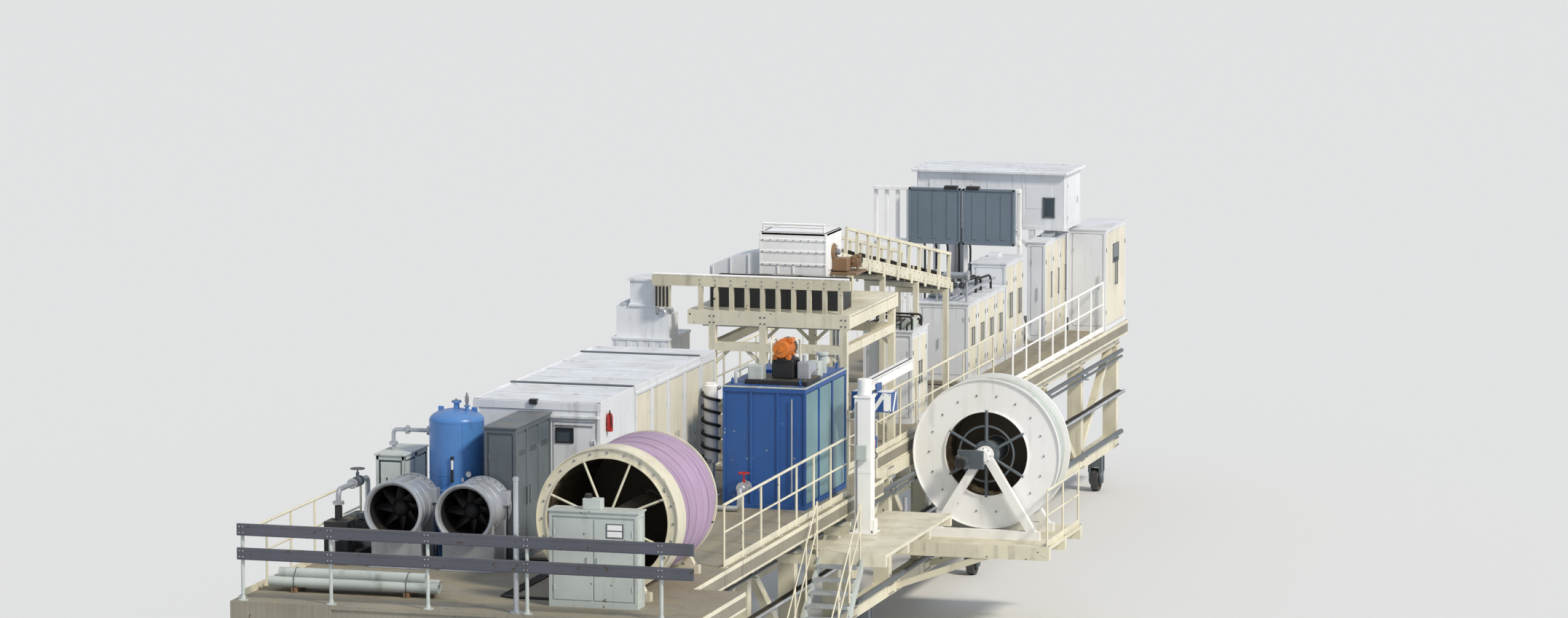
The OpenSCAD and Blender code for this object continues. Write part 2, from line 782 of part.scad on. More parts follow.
// Dark pump set at the left edge
module pump_set() {
    y = fan_y0 + 300;
    x0 = left_x(0.042);
    x1 = left_x(0.25);
    color(dark_grey) {
        block([x0, y, deck_z + seat], [x1, y + 1500, deck_z + 150]);
        block([x0 + 80, y + 100, deck_z + 149], [x1 - 90, y + 500, deck_z + 700]);
        rod_y([(x0 + x1)/2, y + 480, deck_z + 480], 420, 850);
        block([x0 + 180, y + 600, deck_z + 149], [x1 - 190, y + 1200, deck_z + 300]);
    }
}

// Blue mixing tank with a rim and stiffening ribs
mix_x0 = 470;
mix_y0 = rear_y1 - 4000;
module mixing_tank() {
    x1 = mix_x0 + mix_w;
    y1 = mix_y0 + mix_l;
    z1 = deck_z + mix_h;
    color(mix_blue) {
        block([mix_x0 + 30, mix_y0 + 30, deck_z + seat], [x1 - 30, y1 - 30, z1 - 1]);
        block([mix_x0, mix_y0, z1 - 100], [x1, y1, z1]);
        block([mix_x0, mix_y0, deck_z + seat], [x1, y1, deck_z + 80]);
        for (i = [0:3])
            block([x1 - 31, mix_y0 + (mix_l - 60)*i/3, deck_z + 79],
                  [x1, mix_y0 + 60 + (mix_l - 60)*i/3, z1 - 99]);
    }
}

module mixer_drive() {
    z = deck_z + mix_h + seat;
    color(rubber) block([mix_x0 + 350, mix_y0 + 200, z], [mix_x0 + mix_w - 20, mix_y0 + 1100, z + 90]);
    color(dark_grey) {
        block([mix_x0 + 780, mix_y0 + 500, z + 89], [mix_x0 + 1180, mix_y0 + 900, z + 420]);
        rod_z([mix_x0 + 980, mix_y0 + 700, z + 400], 300, 80);
    }
    color(orange) rod_y([mix_x0 + 960, mix_y0 + 420, z + 620], 2*mix_motor_r, 560);
    color(silver) block([mix_x0 + 1240, mix_y0 + 500, z + 89], [mix_x0 + 1480, mix_y0 + 1000, z + 400]);
}

// Post beside the switch room with hose coiled round it, one coil over the other
coil_r = 190;
coil_h = 110;
coil_pitch = 160;
coils = 9;
module hose_rack() {
    x = room_x1 + coil_r + 15;
    y = room_y0 + 6000;
    w = 50;
    z0 = deck_z + 600;
    color(white) {
        block([x - w, y - w, deck_z], [x + w, y + w, z0 - seat]);
        for (i = [0:coils - 1])
            block([x - w, y - w, z0 + coil_pitch*i + coil_h + seat],
                  [x + w, y + w, z0 + coil_pitch*(i + 1) - seat]);
        block([x - 80, y - 80, z0 + coil_pitch*coils], [x + 80, y + 80, z0 + coil_pitch*coils + 30]);
    }
    color(rubber) for (i = [0:coils - 1])
        rod_z([x, y, z0 + coil_pitch*i], 2*coil_r, coil_h);
}

// Column, swinging arm and travelling hoist of the jib
jib_x = 2700;
jib_y = rear_y1 - 2500;
jib_top = side_deck_z + jib_h;
module jib_column() {
    w = jib_w/2;
    color(white) {
        block([jib_x - w, jib_y - w, side_deck_z + 20], [jib_x + w, jib_y + w, jib_top]);
        block([jib_x - w - 80, jib_y - w - 80, side_deck_z + seat],
              [jib_x + w + 80, jib_y + w + 80, side_deck_z + 30]);
        rod_z([jib_x, jib_y, jib_top - 1], 120, 301);
    }
}

module jib_arm() {
    z = jib_top + 8;
    b = jib_beam_h;
    color(white) difference() {
        union() {
            translate([jib_x, jib_y, z]) cylinder(d = 260, h = 280);
            translate([jib_x, jib_y, z + 40]) rotate([90, 0, 180]) linear_extrude(jib_l)
                polygon([[-70, 0], [70, 0], [70, 20], [8, 20], [8, b - 20], [70, b - 20],
                         [70, b], [-70, b], [-70, b - 20], [-8, b - 20], [-8, 20], [-70, 20]]);
        }
        translate([jib_x, jib_y, z - 1]) cylinder(d = 121, h = 300);
    }
    for (y = [hoist_y - stop_gap - 30, hoist_y + hoist_l + hoist_travel + stop_gap])
        for (side = [0, 1])
            color(white) block([jib_x - 66 + 76*side, y, z + 59], [jib_x - 10 + 76*side, y + 30, z + b - 1]);
}

hoist_y = jib_y + 500;
hoist_l = 360;
stop_gap = 10;
module jib_hoist() {
    z = jib_top + 48;
    b = jib_beam_h;
    color(tank_blue) {
        for (s = [-1, 1]) {
            block([jib_x + s*85 - 10, hoist_y, z - 330], [jib_x + s*85 + 10, hoist_y + hoist_l, z + 80]);
            for (y = [hoist_y + 80, hoist_y + 280])
                rod_x([jib_x + (s > 0 ? 30 : -80), y, z + 20 + 30 + seat], 60, 50);
        }
        block([jib_x - 380, hoist_y, z - 420], [jib_x + 380, hoist_y + hoist_l, z - 60]);
    }
    color(steel_grey) {
        rod_z([jib_x, hoist_y + 180, z - 900], 30, 500);
        rod_z([jib_x, hoist_y + 180, z - 1100], 110, 210);
    }
}

// Middle gantry

module mid_side_frames() {
    color(cream) side_frames(mid_y0, mid_l);
}

mid_right = outer_x - 40;
module mid_deck() {
    color(cream) {
        deck(mid_y0, mid_l, mid_left, mid_right);
        drawbar_eye(mid_y0, -1);
        drawbar_jaws(mid_y1, 1);
    }
}

module mid_bogies() {
    bogies(mid_y0, mid_l);
}

// Low platform on the right that carries the front reel
low_y0 = mid_y0 + 3400;
module low_platform() {
    under = low_deck_z - plate_t - 200;
    color(cream) {
        block([outer_x, low_y0, low_deck_z - plate_t], [half_w, low_y0 + low_deck_l, low_deck_z]);
        for (i = [0:2])
            block([outer_x, low_y0 + (low_deck_l - 140)*i/2, under],
                  [half_w, low_y0 + 140 + (low_deck_l - 140)*i/2, low_deck_z - plate_t - seat]);
        for (y = [low_y0 + 70, low_y0 + low_deck_l - 70])
            intersection() {
                strut_xz(y, 100, outer_x - 200, frame_foot + 40, outer_x + 1900, under + 80, 120);
                block([outer_x, y - 60, frame_foot], [outer_x + 2000, y + 60, under - seat]);
            }
    }
}

reel2_x = half_w - reel2_r - 20;
reel2_z = low_deck_z + reel2_lift + reel2_r;
reel2_y0 = low_y0 + low_deck_l/2 - reel2_l/2 - reel2_ring_t;
module front_hose_reel() {
    p = [reel2_x, reel2_y0, reel2_z];
    t = reel2_ring_t;
    n = 6;
    color(white) {
        wedge_ring(p, reel2_r, reel2_in_r, t, 2*n);
        spokes(p, reel2_hub_r, reel2_in_r, t, n, 70);
        reel_hub(p, reel2_hub_r, reel2_l + 2*t);
        wedge_ring(p + [0, t + seat, 0], reel2_r - 80, reel2_in_r, reel2_l - 2*seat, 2*n);
        wedge_ring(p + [0, t + reel2_l, 0], reel2_r, reel2_hub_r + seat, t, n);
    }
}

module front_reel_stand() {
    gap = 60;
    leg = 160;
    l = reel2_l + 2*reel2_ring_t;
    color(cream) {
        for (y = [reel2_y0 - gap - leg, reel2_y0 + l + gap]) {
            for (s = [-1, 1])
                strut_xz(y + leg/2, leg - 20, reel2_x + s*1000, low_deck_z + leg*0.3,
                         reel2_x + s*40, reel2_z, leg);
            block([reel2_x - 1100, y, low_deck_z], [reel2_x + 1100, y + leg, low_deck_z + leg]);
            rod_y([reel2_x, y, reel2_z], 340, leg);
        }
        rod_y([reel2_x, reel2_y0 - gap - leg, reel2_z], reel_shaft_d, l + 2*gap + 2*leg);
    }
}

// Dust filter with its stack at the rear left of the middle deck
module dust_filter() {
    x0 = -3100;
    y0 = mid_y0 + 300;
    color(white) {
        block([x0, y0, deck_z + seat], [x0 + 1100, y0 + 1400, deck_z + 2300]);
        block([x0 + 320, y0 + 100, deck_z + 2299], [x0 + 820, y0 + 800, deck_z + 3420]);
        block([x0 + 50, y0 + 100, deck_z + 2299], [x0 + 330, y0 + 700, deck_z + 2900]);
        block([x0 + 810, y0 + 100, deck_z + 2299], [x0 + 1080, y0 + 700, deck_z + 2750]);
    }
}

// Upper frame that carries the belt conveyor's discharge head
upper_z = deck_z + upper_h;
upper_y0 = mid_y0 + 200;
upper_y1 = upper_y0 + 3600;
upper_xs = [-1190, -210, 1350];
module upper_frame() {
    p = 130;
    low_z = deck_z + 2150;
    color(cream) {
        for (y = [upper_y0, upper_y1 - p]) {
            for (x = upper_xs) block([x, y, deck_z], [x + p, y + p, upper_z - seat]);
            block([-1600, y, upper_z], [1530, y + p, upper_z + upper_beam]);
            for (i = [0, 1])
                block([upper_xs[i] + p + seat, y, low_z], [upper_xs[i + 1] - seat, y + p, low_z + 160]);
        }
        for (x = [upper_xs[0], upper_xs[2]]) {
            block([x, upper_y0 + p + seat, upper_z], [x + p, upper_y1 - p - seat, upper_z + upper_beam]);
            block([x, upper_y0 + p + seat, low_z], [x + p, upper_y1 - p - seat, low_z + 160]);
        }
        block([-1600, upper_y0, upper_z + upper_beam + seat], [1530, upper_y1, upper_z + upper_beam + 40]);
    }
}

// Ladder-like railing across the rear of the upper frame
module ladder_railing() {
    z0 = upper_z + upper_beam + 40 + seat;
    z1 = z0 + ladder_h;
    y = upper_y0 + 20;
    n = 9;
    color(tan) {
        block([-2300, y, z1 - 180], [1530, y + 90, z1]);
        for (i = [0:n])
            block([-1400 + ladder_pitch*i, y + 5, z0], [-1320 + ladder_pitch*i, y + 85, z1 - 180 - seat]);
    }
    color(rubber) block([-2240, y + 5, z1 - 600], [-1950, y + 85, z1 - 180 - seat]);
}

// Housing over the conveyor's head drum, with a handrail on top and a dark skirt at its rear
head_y0 = upper_y0 + 1200;
head_z0 = upper_z + upper_beam + 40 + 560;
skirt_y0 = upper_y0 + 500;
module discharge_head() {
    wall = 60;
    y1 = head_y0 + 1100;
    roof_z = head_z0 + 740;
    color(white) {
        block([-540, head_y0, roof_z], [760, y1, roof_z + wall]);
        block([-540, head_y0, head_z0], [760, head_y0 + wall, roof_z - seat]);
        for (x = [-540, 700])
            block([x, head_y0 + wall + seat, head_z0], [x + wall, y1, roof_z - seat]);
        for (z = [head_z0 + 180, head_z0 + 420, head_z0 + 640])
            block([-545, head_y0 - 15, z], [765, head_y0 - seat, z + 40]);
        railing_x(head_y0 + 60, -500, 720, roof_z + wall + seat, 180);
        for (x = [-540, 700])
            block([x, head_y0 + 500, upper_z + upper_beam + 40 + seat], [x + 60, head_y0 + 600, head_z0 - seat]);
    }
    top = upper_z + upper_beam + 40 + seat;
    color(dark_grey) {
        block([-1300, skirt_y0, top], [1250, skirt_y0 + 40, head_z0 - seat]);
        for (x = [-1300, 1210])
            block([x, skirt_y0 + 40 + seat, top], [x + 40, head_y0 - 20, head_z0 - seat]);
        block([-1260 + seat, head_y0 - 60, head_z0 - 60], [1210 - seat, head_y0 - 20, head_z0 - seat]);
    }
}

// Hood that slopes down to the left of the head
module discharge_chute() {
    x1 = -545 - seat;
    color(pale_grey) translate([0, head_y0 + 900, 0]) rotate([90, 0, 0]) linear_extrude(800)
        polygon([[x1 - 1000, upper_z + upper_beam + 40 + seat], [x1 - 1000, head_z0 + 120],
                 [x1 - 600, head_z0 + 300], [x1, head_z0 + 420],
                 [x1, upper_z + upper_beam + 40 + seat]]);
}

// Belt conveyor that climbs to the head from the front
belt_y0 = head_y0 + 300;
belt_y1 = mid_y1 - 200;
belt_z0 = head_z0 + 420;
belt_x = 110;
module belt_conveyor() {
    run = belt_y1 - belt_y0;
    slope = atan2(belt_drop, run);
    l = run/cos(slope);
    w = belt_w/2;
    post = 60;
    translate([belt_x, belt_y0, belt_z0]) rotate([-slope, 0, 0]) {
        color(rubber) block([-w + seat, 0, 0], [w - seat, l, 30]);
        color(cream) {
            for (i = [0:8])
                block([-w + seat, (l - 80)*i/8, -120], [w - seat, (l - 80)*i/8 + 80, -seat]);
            for (x = [-w - 100, w]) {
                block([x, 0, -160], [x + 100, l, 60]);
                for (i = [2:12])
                    block([x + 20, (l - post)*i/12, 60 + seat], [x + 80, (l - post)*i/12 + post, 60 + belt_rail_h]);
                block([x + 20, (l - post)/6, 60 + belt_rail_h + seat], [x + 80, l, 60 + belt_rail_h + post]);
            }
        }
    }
}

module conveyor_trestles() {
    run = belt_y1 - belt_y0;
    color(cream) for (k = [0.2, 0.45, 0.72, 0.97]) {
        y = belt_y0 + run*k;
        z = belt_z0 - belt_drop*(y + 100 - belt_y0)/run - 160/cos(atan2(belt_drop, run)) - seat;
        foot = y < upper_y1 ? upper_z + upper_beam + 40 : deck_z;
        for (s = [-1, 1])
            block([belt_x + s*(belt_w/2 + 50) - 50, y, foot],
                  [belt_x + s*(belt_w/2 + 50) + 50, y + 100, z - 100 - seat]);
        block([belt_x - belt_w/2 - 100, y, z - 100], [belt_x + belt_w/2 + 100, y + 100, z]);
    }
}

module mid_cabinet() {
    color(pale_grey) cabinet([200, mid_y0 + 6200, deck_z + seat], [1190, mid_y0 + 7400, deck_z + 1830], 2);
}

module mid_railings() {
    color(cream) {
        railing_y(-mid_left + 60, mid_y0 + 2000, mid_y1 - 60, deck_z);
        railing_y(mid_right - 40, mid_y0 + 200, mid_y1 - 60, deck_z);
        railing_y(half_w - 60, low_y0 + 60, low_y0 + low_deck_l - 60, low_deck_z);
    }
}

// Front gantry

module front_side_frames() {
    color(cream) side_frames(front_y0, front_l);
}

module front_deck() {
    color(cream) {
        deck(front_y0, front_l, front_left, front_right);
        drawbar_eye(front_y0, -1);
        drawbar_eye(front_y1, 1);
    }
}

module front_bogies() {
    bogies(front_y0, front_l);
}

// A place along the front deck, as a share of its length
function front_share(share) = front_y0 + front_l*share;

// Electrical cabinets along the right of the front deck, with a booth at its front end
booth_y = front_share(0.797);
module front_cabinets() {
    color(white) {
        cabinet([-280, front_share(0.02), deck_z + seat], [770, front_share(0.318), deck_z + 1590], 4);
        cabinet([30, front_share(0.328), deck_z + seat], [770, front_share(0.478), deck_z + 2040], 2);
        cabinet([480, front_share(0.62), deck_z + seat], [880, front_share(0.81), deck_z + 2140], 3);
        cabinet([960, booth_y, deck_z + seat],
                [front_right - 20, front_share(0.985), deck_z + 2230], 1);
    }
}

// Two grey panels on a raised rack, with a barred frame on their left
rack_y = front_share(0.525);
rack_t = 260;
module panel_rack() {
    y = rack_y;
    z0 = deck_z + 2150;
    z1 = z0 + 1200;
    color(steel_grey) {
        block([-1880, y, z0], [-740, y + 120 - seat, z1]);
        block([-700, y, z0], [440, y + 120 - seat, z1]);
    }
    color(cream) {
        for (x = [-2700, -1980, -720, 460]) block([x, y + 180 + seat, deck_z], [x + 80, y + rack_t, z1]);
        for (x = [-2460, -2220]) block([x, y + 180 + seat, z0], [x + 80, y + rack_t, z1]);
        for (z = [z0, z1 - 80]) block([-2700, y + 120, z], [540, y + 180, z + 80]);
    }
}

// Raised machine room with a dark window
module machine_room() {
    x0 = -2160;
    x1 = 1100;
    y0 = front_share(0.694);
    y1 = front_share(0.84);
    z0 = deck_z + 2300;
    z1 = z0 + 1200;
    color(white) {
        difference() {
            block([x0, y0, z0], [x1, y1, z1]);
            block([300, y0 - 1, z0 + 500], [800, y0 + 61, z0 + 900]);
        }
    }
    color(cream) for (x = [x0, 320]) for (y = [y0, y1 - 120])
        block([x, y, deck_z], [x + 120, y + 120, z0 - seat]);
}

module front_railings() {
    color(cream) {
        railing_y(front_right - 60, front_y0 + 60, booth_y - 60, deck_z);
        railing_y(60 - front_left, front_y0 + 60, rack_y - 40, deck_z);
        railing_y(60 - front_left, rack_y + rack_t + 40, front_y1 - 60, deck_z);
    }
}

module wheel_of(y0, l, i) {
    p = wheel_places(y0, l)[i];
    wheel(p[0], p[1]);
}

rear_side_frames();
rear_deck();
rear_bogies();
wheel_of(rear_y0, rear_l, 0);  // rear_wheel_1
wheel_of(rear_y0, rear_l, 1);  // rear_wheel_2
wheel_of(rear_y0, rear_l, 2);  // rear_wheel_3
wheel_of(rear_y0, rear_l, 3);  // rear_wheel_4
rear_guardrail();
rear_railings();
side_platform();
access_stair();
control_room();
control_room_door();
switch_room();
reel_stand();
reel_control_box();
hose_reel();
fan_casings();
fan_rotor(fan_xs[0]);  // fan_rotor_left
fan_rotor(fan_xs[1]);  // fan_rotor_right
air_receiver();
rear_cabinets();
pump_set();
stored_pipes();
mixing_tank();
mixer_drive();
hose_rack();
jib_column();
jib_arm();
jib_hoist();
mid_side_frames();
mid_deck();
mid_bogies();
wheel_of(mid_y0, mid_l, 0);  // mid_wheel_1
wheel_of(mid_y0, mid_l, 1);  // mid_wheel_2
wheel_of(mid_y0, mid_l, 2);  // mid_wheel_3
wheel_of(mid_y0, mid_l, 3);  // mid_wheel_4
low_platform();
front_reel_stand();
front_hose_reel();
dust_filter();
upper_frame();
ladder_railing();
discharge_head();
discharge_chute();
belt_conveyor();
conveyor_trestles();
mid_cabinet();
mid_railings();
front_side_frames();
front_deck();
front_bogies();
wheel_of(front_y0, front_l, 0);  // front_wheel_1
wheel_of(front_y0, front_l, 1);  // front_wheel_2
wheel_of(front_y0, front_l, 2);  // front_wheel_3
wheel_of(front_y0, front_l, 3);  // front_wheel_4
front_cabinets();
panel_rack();
machine_room();
front_railings();
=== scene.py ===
"""Looks of the trailing back-up train of a tunnel boring machine.

Paint, doors, pipework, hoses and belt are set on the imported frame. Metres; +Y is forward, the way
the train is towed, +X is right and +Z is up. The floor is at zero.
"""
import math

import bpy
import numpy as np
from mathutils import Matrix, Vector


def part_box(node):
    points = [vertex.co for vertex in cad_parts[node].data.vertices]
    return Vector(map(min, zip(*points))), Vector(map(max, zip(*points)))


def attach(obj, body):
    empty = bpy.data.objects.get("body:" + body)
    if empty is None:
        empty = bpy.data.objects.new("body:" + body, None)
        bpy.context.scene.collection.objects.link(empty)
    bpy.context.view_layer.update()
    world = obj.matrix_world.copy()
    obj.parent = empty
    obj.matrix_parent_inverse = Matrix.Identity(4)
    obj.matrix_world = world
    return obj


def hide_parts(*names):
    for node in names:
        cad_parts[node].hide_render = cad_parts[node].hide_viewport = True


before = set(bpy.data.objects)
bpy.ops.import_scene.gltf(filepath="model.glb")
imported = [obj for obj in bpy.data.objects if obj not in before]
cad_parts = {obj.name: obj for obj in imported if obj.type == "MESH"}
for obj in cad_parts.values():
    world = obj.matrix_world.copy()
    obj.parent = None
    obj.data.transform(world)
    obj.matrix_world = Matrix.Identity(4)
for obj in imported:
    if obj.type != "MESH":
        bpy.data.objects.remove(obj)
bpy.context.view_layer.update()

X, Y, Z = np.eye(3)
DECK = 3.6                  # walking level of the three decks
LOW_DECK = 1.76             # and of the low platform
PLATE_TOP = 3.618           # top of the foot plates on the decks
DOOR_FOOT = 3.72            # lower edge of most cabinet doors
TRACK = 1.45                # side frames, left and right of the centre line
FRAME_FOOT, FRAME_TOP = 0.78, 3.3
CHORD = 0.24
HALF_FRAME = 0.15           # half the width of a side frame
AXLE_Z, AXLE_IN = 0.25, 1.5  # height of the axles, and how far they lie in from a gantry's ends
CHEEK = 0.132               # outer face of a wheel's cheek from the wheel's middle
REAR, MID, FRONT = (-19.7, -4.2), (-3.6, 8.0), (8.6, 19.27)
GANTRIES = {"rear_gantry": REAR, "mid_gantry": MID, "front_gantry": FRONT}
LEAN = np.array([0.37, 0.61, 0.7])   # a direction that no pipe runs in
BOOTH = 0.797               # where the booth starts, as a share of the front deck


def share(k):
    """Distance along at a share of the front deck's length."""
    return FRONT[0] + (FRONT[1] - FRONT[0])*k


# Surfaces: each is (points, four-sided faces, three-sided faces)

def skin(rings, closed=False):
    """Surface over k rings of n points: face (i, j) joins rings i and i+1 between points j and j+1.
    The end rings are closed by a fan to their mean point, unless the last ring joins the first.
    All faces turn outwards: their signed volume is made positive."""
    k, n = rings.shape[:2]
    points = rings.reshape(-1, 3)
    i, j = np.meshgrid(np.arange(k if closed else k - 1), np.arange(n), indexing="ij")
    i2, j2 = (i + 1) % k, (j + 1) % n
    quads = np.stack([i*n + j, i*n + j2, i2*n + j2, i2*n + j], -1).reshape(-1, 4)
    tris = np.zeros((0, 3), int)
    if not closed:
        j = np.arange(n)
        j2 = (j + 1) % n
        first = np.stack([j2, j, np.full(n, k*n)], -1)
        last = np.stack([(k - 1)*n + j, (k - 1)*n + j2, np.full(n, k*n + 1)], -1)
        points = np.concatenate([points, rings[[0, -1]].mean(1)])
        tris = np.concatenate([first, last])
    a, b, c = (points - points.mean(0))[np.concatenate([quads[:, :3], quads[:, [0, 2, 3]], tris]).T]
    if np.einsum("ij,ij->", a, np.cross(b, c)) < 0:
        quads, tris = quads[:, ::-1], tris[:, ::-1]
    return points, quads, tris


def join(*shapes):
    """One surface of several: points one after another, faces counted on from the points before."""
    counts = np.cumsum([0] + [len(s[0]) for s in shapes[:-1]])
    return (np.concatenate([s[0] for s in shapes]),
            np.concatenate([s[1] + c for s, c in zip(shapes, counts)]),
            np.concatenate([s[2] + c for s, c in zip(shapes, counts)]))


def vec(place):
    return np.asarray(place, float)


def copies(shape, places):
    """The surface once at each place: every point plus every place."""
    points, quads, tris = shape
    places = vec(places).reshape(-1, 3)
    step = np.arange(len(places))[:, None, None]*len(points)
    return ((points[None] + places[:, None]).reshape(-1, 3),
            (quads[None] + step).reshape(-1, 4), (tris[None] + step).reshape(-1, 3))


def turned(shape, axis, degrees, about=(0, 0, 0)):
    """The surface turned by a about the unit axis n through a point: a point p, measured from there,
    goes to p + sin a (n x p) + (1 - cos a) n x (n x p)."""
    a = math.radians(degrees)
    k = np.cross(np.eye(3), vec(axis))
    turn = np.eye(3) + math.sin(a)*k + (1 - math.cos(a))*k @ k
    about = vec(about)
    return ((shape[0] - about) @ turn.T + about, shape[1], shape[2])


def spun(shape, axis, n, about, start=0.0):
    """The surface n times round an axis, at equal angles."""
    return join(*[turned(shape, axis, start + 360*i/n, about) for i in range(n)])


def on_face(shape, origin, across):
    """The surface moved from a flat drawing onto an upright face: drawing x runs across, y runs up
    and z stands out of the face, along across cross up."""
    across = vec(across)
    basis = np.stack([across, Z, np.cross(across, Z)])
    return (shape[0] @ basis + vec(origin), shape[1], shape[2])


def block(lo, hi, r=0.008):
    """Box with broken edges: eight points round the footprint, drawn in by r at the foot and the top."""
    lo, hi = np.minimum(lo, hi).astype(float), np.maximum(lo, hi).astype(float)
    r = min(r, 0.3*(hi - lo).min())
    mid, half = (lo + hi)/2, (hi - lo)/2
    sign = np.array([[1, 1], [1, 1], [-1, 1], [-1, 1], [-1, -1], [-1, -1], [1, -1], [1, -1]])
    cut = np.array([[0, 1], [1, 0], [1, 0], [0, 1], [0, 1], [1, 0], [1, 0], [0, 1]])
    rings = []
    for z, inset in ((lo[2], 0.7*r), (lo[2] + 0.7*r, 0), (hi[2] - 0.7*r, 0), (hi[2], 0.7*r)):
        xy = mid[:2] + sign*(half[:2] - inset - cut*(r - inset))
        rings.append(np.column_stack([xy, np.full(8, z)]))
    return skin(np.array(rings))


def bar(a, b, w, h, r=0.006, up=Z):
    """Straight bar from a to b, w wide and h high towards up: a box on end, turned to point along it."""
    a, b = vec(a), vec(b)
    along = (b - a)/np.linalg.norm(b - a)
    side = np.cross(along, up)
    side /= np.linalg.norm(side)
    points, quads, tris = block([-w/2, -h/2, 0], [w/2, h/2, np.linalg.norm(b - a)], r)
    return points @ np.stack([side, np.cross(side, along), along]) + a, quads, tris


def tube(path, radius, n=12, closed=False):
    """Round section carried along a path. Ring i lies round point i, square to the step through it."""
    path = vec(path)
    step = np.roll(path, -1, 0) - np.roll(path, 1, 0) if closed else np.gradient(path, axis=0)
    step /= np.linalg.norm(step, axis=1, keepdims=True)
    side = np.cross(step, LEAN)
    side /= np.linalg.norm(side, axis=1, keepdims=True)
    up = np.cross(side, step)
    a = np.linspace(0, 2*math.pi, n, endpoint=False)[None, :, None]
    radius = np.broadcast_to(radius, len(path))[:, None, None]
    return skin(path[:, None] + radius*(np.cos(a)*side[:, None] + np.sin(a)*up[:, None]), closed)


def rounded(knees, r, steps=6):
    """Path through knees with each inner knee rounded: (1-t)^2 A + 2t(1-t) P + t^2 B, where A and B
    lie r before and after the knee P."""
    p = vec(knees)
    way = np.diff(p, axis=0)
    way /= np.linalg.norm(way, axis=1, keepdims=True)
    t = np.linspace(0, 1, steps)[None, :, None]
    a, b = (p[1:-1] - way[:-1]*r)[:, None], (p[1:-1] + way[1:]*r)[:, None]
    arcs = (1 - t)**2*a + 2*t*(1 - t)*p[1:-1, None] + t**2*b
    return np.concatenate([p[:1], arcs.reshape(-1, 3), p[-1:]])


def pipe(knees, d, bend=0.12, n=12):
    """Tube of diameter d through knees with round bends."""
    return tube(rounded(knees, bend), d/2, n)


def turning(profile, base, axis=Z, n=48, closed=False):
    """Profile of (radius, distance along the axis) turned round an axis through base."""
    r, h = vec(profile).T[:, :, None, None]
    axis = vec(axis)
    u = np.cross(axis, Z if abs(axis[2]) < 0.9 else X)
    v = np.cross(axis, u)
    a = np.linspace(0, 2*math.pi, n, endpoint=False)[None, :, None]
    return skin(vec(base) + h*axis + r*(np.cos(a)*u + np.sin(a)*v), closed)


def rod(a, b, d, n=16):
    """Round bar from a to b: one profile of radius d/2 over its length."""
    a, b = vec(a), vec(b)
    length = np.linalg.norm(b - a)
    c = min(0.1*d, 0.2*length)
    return turning([(d/2 - c, 0), (d/2, c), (d/2, length - c), (d/2 - c, length)], a, (b - a)/length, n)


def bolts(places, axis=Z, d=0.036, h=0.016):
    """Hexagon heads standing out of a face along an axis."""
    return copies(turning([(d/2, 0), (d/2, 0.8*h), (0.4*d, h)], (0, 0, 0), axis, 6), places)


def round_places(centre, radius, n, axis=Y, start=0.0):
    """n points round a circle: centre + r (cos a, sin a) in the plane square to the axis."""
    axis = vec(axis)
    u = np.cross(axis, Z if abs(axis[2]) < 0.9 else X)
    v = np.cross(axis, u)
    a = (np.arange(n)/n*2*math.pi + start)[:, None]
    return vec(centre) + radius*(np.cos(a)*u + np.sin(a)*v)


# Finishes

def paint_colour(r, g, b):
    """Linear colour of a paint whose screen colour is r, g, b out of 255."""
    c = np.array([r, g, b])/255
    return (*np.where(c <= 0.04045, c/12.92, ((c + 0.055)/1.055)**2.4), 1.0)


class Finish:
    """One node material. add() makes a node and sets its inputs; a value that is a socket is linked."""

    def __init__(self, name):
        self.material = bpy.data.materials.new(name)
        self.material.use_nodes = True
        self.tree = self.material.node_tree
        self.shader = self.tree.nodes["Principled BSDF"]
        self.place = self.add("ShaderNodeTexCoord").outputs["Object"]

    def add(self, kind, settings=None, **inputs):
        made = self.tree.nodes.new(kind)
        for key, value in (settings or {}).items():
            setattr(made, key, value)
        for key, value in inputs.items():
            self.set(made.inputs[int(key[1:]) if key[1:].isdigit() else key.replace("_", " ")], value)
        return made

    def set(self, socket, value):
        if isinstance(value, bpy.types.NodeSocket):
            self.tree.links.new(value, socket)
        else:
            socket.default_value = value

    def noise(self, scale, detail=4.0, stretch=None):
        """Cloudy pattern with so many spots a metre, drawn out along the axes of stretch."""
        place = self.place
        if stretch:
            place = self.add("ShaderNodeMapping", Vector=place, Scale=stretch).outputs[0]
        return self.add("ShaderNodeTexNoise", Vector=place, Scale=scale, Detail=detail).outputs["Fac"]

    def between(self, value, low, high, top=1.0):
        """0 below low, rising to top above high."""
        return self.add("ShaderNodeMapRange", Value=value, From_Min=low,
                        From_Max=high, To_Max=top).outputs[0]

    def maths(self, operation, a, b):
        return self.add("ShaderNodeMath", {"operation": operation}, i0=a, i1=b).outputs[0]

    def blend(self, share, a, b):
        return self.add("ShaderNodeMix", {"data_type": "RGBA"}, i0=share, i6=a, i7=b).outputs[2]

    def upward(self, low=0.6, high=0.95):
        """1 where the surface faces the sky."""
        up = self.add("ShaderNodeTexCoord").outputs["Normal"]
        z = self.add("ShaderNodeSeparateXYZ", Vector=up).outputs[2]
        return self.between(z, low, high)

    def bump(self, height, distance, strength=0.5, onto=None):
        made = self.add("ShaderNodeBump", Height=height, Distance=distance, Strength=strength)
        if onto is not None:
            self.set(made.inputs["Normal"], onto)
        return made.outputs[0]


DUST = paint_colour(150, 138, 112)
GRIME = paint_colour(70, 60, 48)


